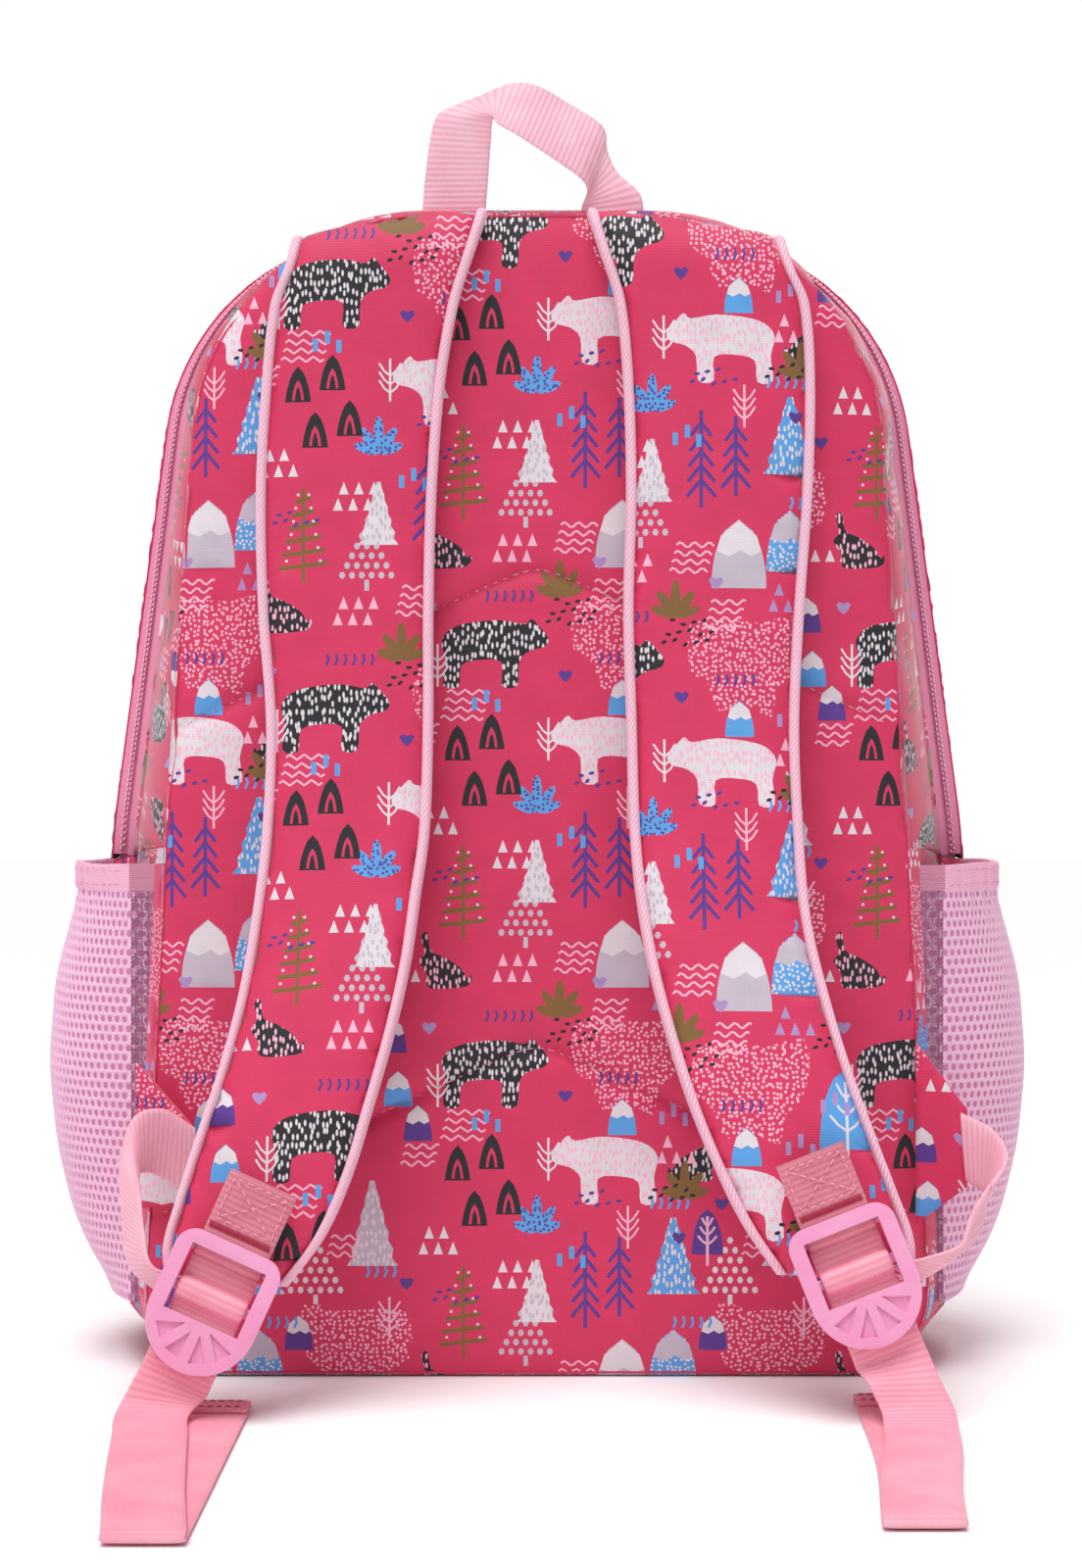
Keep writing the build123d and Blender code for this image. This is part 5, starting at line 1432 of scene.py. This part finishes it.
for word in STRAPS:
    lock_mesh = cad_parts[f"ladder_lock_{word}"].data.copy()
    shape = bmesh.new()
    shape.from_mesh(lock_mesh)
    bmesh.ops.remove_doubles(shape, verts=shape.verts, dist=1e-6)
    bmesh.ops.dissolve_limit(shape, angle_limit=math.radians(1), verts=shape.verts, edges=shape.edges)
    shape.to_mesh(lock_mesh)
    shape.free()
    lock_mesh.materials.clear()
    lock_mesh.materials.append(lock_plastic)
    lock = bpy.data.objects.new(f"moulded_lock_{word}", lock_mesh)
    bpy.context.scene.collection.objects.link(lock)
    rounding = lock.modifiers.new("rounding", "BEVEL")
    rounding.width, rounding.segments, rounding.harden_normals = MOULD_RADIUS, 3, True
    rounding.angle_limit = math.radians(35)
    lock_mesh.polygons.foreach_set("use_smooth", np.ones(len(lock_mesh.polygons), bool))
    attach(lock, f"lock_{word}")
    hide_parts(f"ladder_lock_{word}")
    patch = webbing(f"buckle_patch_{word}", lock_rows(word, PATCH_ROUTE), patch_weave, 1.3)
    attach(patch, f"strap_{word}")
    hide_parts(f"buckle_loop_{word}")
    box = [(-9.8, 11.0), (9.8, 11.0), (9.8, 25.2), (-9.8, 25.2), (-9.8, 11.0), (9.8, 25.2)]
    paths = {"box": box, "cross": [(9.8, 11.0), (-9.8, 25.2)]}
    outward = lock_point(word, 0, 0, 1) - lock_point(word, 0, 0, 0)
    for label, route in paths.items():
        path = np.array([lock_point(word, x, up, patch_out(up)) for x, up in route])
        row = seam(f"patch_{label}_stitches_{word}", path, np.tile(outward, (len(path), 1)), thread, 2.4,
                   0.9, 0.6)
        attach(row, f"strap_{word}")
    steps = np.arange(-11.0, 11.0, 0.55)
    tops = np.array([lock_point(word, x, 9.6, patch_out(9.6)) for x in steps])
    feet = np.array([lock_point(word, x + 0.28, 7.2, patch_out(7.2) - 0.1) for x in steps])
    tack = stitches(f"patch_bar_tack_{word}", tops, feet, np.tile(outward, (len(tops), 1)), red_thread, 0.5,
                    0.4)
    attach(tack, f"strap_{word}")

# ------------------------------------------------------------------ wings, adjusters and tails
# A printed wing in each side seam holds the adjuster webbing. It folds forward to the buckle, passes
# over the middle bar, and its tail lies on the floor, doubled back, with a hem sewn in dark red.
WINGS = {
    "left": (((-141, -63.2, 112), (-141, -63.2, 60)), ((-121, -69.8, 91), (-121, -69.8, 65))),
    "right": (((133, -63.2, 119), (135, -63.2, 55)), ((150, -69.3, 96), (152, -69.3, 69))),
}
ADJUSTERS = {
    "left": (
        ((-119, -72.5, 90), (-119, -72.5, 66)), ((-130, -76, 97), (-132, -76, 74)),
        ((-139, -81, 95), (-136, -86, 76)), ((-143, -86, 82), (-134, -100, 73)),
        ((-141, -96, 64), (-131, -112, 60)), ((-137, -106, 48), (-127, -119, 50)),
        ((-127, -110, 40), (-116, -117.5, 46)),
    ),
    "right": (
        ((148, -70.5, 95), (150, -70.5, 71)), ((158, -76, 90), (156, -77, 67)),
        ((162, -84, 82), (153, -87, 64)), ((155, -91, 72), (146, -103, 64)),
        ((150, -99, 58), (141, -113, 56)), ((138, -111, 50), (128, -120, 53)),
        ((127, -114, 44), (117, -118, 50)),
    ),
}
TAIL_START = ((-2.9, -2.6), (-6.5, -2.2), (-9.9, -1.6), (-10.6, 0.6), (-10.9, 2.9), (-12.3, 3.9),
              (-15.2, 3.9),
              (-16.6, 2.9), (-17.2, 0.8), (-18.8, -0.4), (-22.0, 0.0), (-39.0, 0.0), (-43.0, -0.4))
TAILS = {
    "left": (
        ((-136, -131, 7.5), (-112, -131, 5.5)), ((-137, -139, 4.4), (-113, -138, 4.0)),
        ((-135, -155, 3.4), (-111, -153, 3.4)), ((-131, -190, 3.4), (-107, -187, 3.4)),
        ((-126, -230, 3.4), (-102, -228, 3.4)), ((-120.5, -267, 3.4), (-96.5, -267, 3.4)),
        ((-120.5, -269.5, 2.3), (-96.5, -269.5, 2.3)), ((-120.5, -267, 1.2), (-96.5, -267, 1.2)),
        ((-120, -190, 1.2), (-96, -190, 1.2)), ((-119.5, -108, 1.2), (-95.5, -108, 1.2)),
    ),
    "right": (
        ((108, -133, 14), (132, -133, 15)), ((111.5, -139, 6.5), (135.5, -139, 7)),
        ((111, -148, 3.6), (135, -150, 3.6)), ((108.5, -170, 3.4), (132.5, -173, 3.4)),
        ((102, -212, 3.4), (126, -214, 3.4)), ((97.5, -252, 3.4), (121.5, -252, 3.4)),
        ((97.5, -254.5, 2.3), (121.5, -254.5, 2.3)), ((97.5, -252, 1.2), (121.5, -252, 1.2)),
        ((104.5, -180, 1.2), (128.5, -182, 1.2)), ((107, -98, 1.2), (131, -98, 1.2)),
    ),
}
WING_PRINT = {"left": (60.0, 20.0), "right": (0.0, 50.0)}
HEM = 14.0

for word in STRAPS:
    (a, b), (c, d) = (tuple(np.array(point, float) for point in pair) for pair in WINGS[word])
    wide, tall_left, tall_right = abs(c[0] - a[0]), (b[2], a[2]), (d[2], c[2])
    x_start, x_end = a[0], c[0]
    steps = np.linspace(0, 1, 9)[:, None]
    foot = (1 - steps) * (x_start, tall_left[0]) + steps * (x_end, tall_right[0])
    top = (1 - steps) * (x_start, tall_left[1]) + steps * (x_end, tall_right[1])
    border = np.concatenate([foot[:-1], np.linspace(foot[-1], top[-1], 9)[:-1], top[:0:-1],
                             np.linspace(top[0], foot[0], 14)[:-1]])

    def wing_face(points):
        """The wing at its (x, z): its depth runs straight from the seam to the tip, with a low crown."""
        share = (points[:, 0] - x_start) / (x_end - x_start)
        crown = 0.8 * np.sin(math.pi * np.clip((points[:, 1] - 55) / 60, 0, 1))
        return np.stack([points[:, 0], a[1] + (c[1] - a[1]) * share - crown - 1.0, points[:, 1]], axis=1)

    wing = printed_piece(f"wing_cloth_{word}", border, wing_face, None, WING_PRINT[word], 4.0, 1.4)
    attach(wing, "root")
    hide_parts(f"strap_wing_{word}")
    adjuster = webbing(f"adjuster_{word}", ADJUSTERS[word], adjuster_weave_painted_highlight)
    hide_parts(f"adjuster_webbing_{word}")
    end = np.mean(ADJUSTERS[word][5], axis=0) * MM
    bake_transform(adjuster)
    tail = webbing(f"tail_{word}", lock_rows(word, TAIL_START) + list(TAILS[word]), tail_weave)
    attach(tail, f"lock_{word}")
    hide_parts(f"webbing_tail_{word}")
    (x1, y1, _), (x2, _, _) = TAILS[word][-1]
    hem_rows = (((x1, y1 - HEM, 2.75), (x2, y1 - HEM, 2.75)),
                ((x1, y1 - HEM / 2, 2.8), (x2, y1 - HEM / 2, 2.8)),
                ((x1, y1 - 0.6, 2.75), (x2, y1 - 0.6, 2.75)))
    hem = webbing(f"tail_hem_{word}", hem_rows, tail_weave)
    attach(hem, f"lock_{word}")
    for number, back in enumerate((3.0, 11.0)):
        x = np.linspace(x1 + 1.2, x2 - 1.2, 12)
        path = np.stack([x, np.full_like(x, y1 - back), np.full_like(x, 3.65)], axis=1)
        row = seam(f"hem_stitches_{word}_{number}", path, np.tile((0.0, 0.0, 1.0), (12, 1)), red_thread, 2.2,
                   0.8, 0.7)
        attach(row, f"lock_{word}")
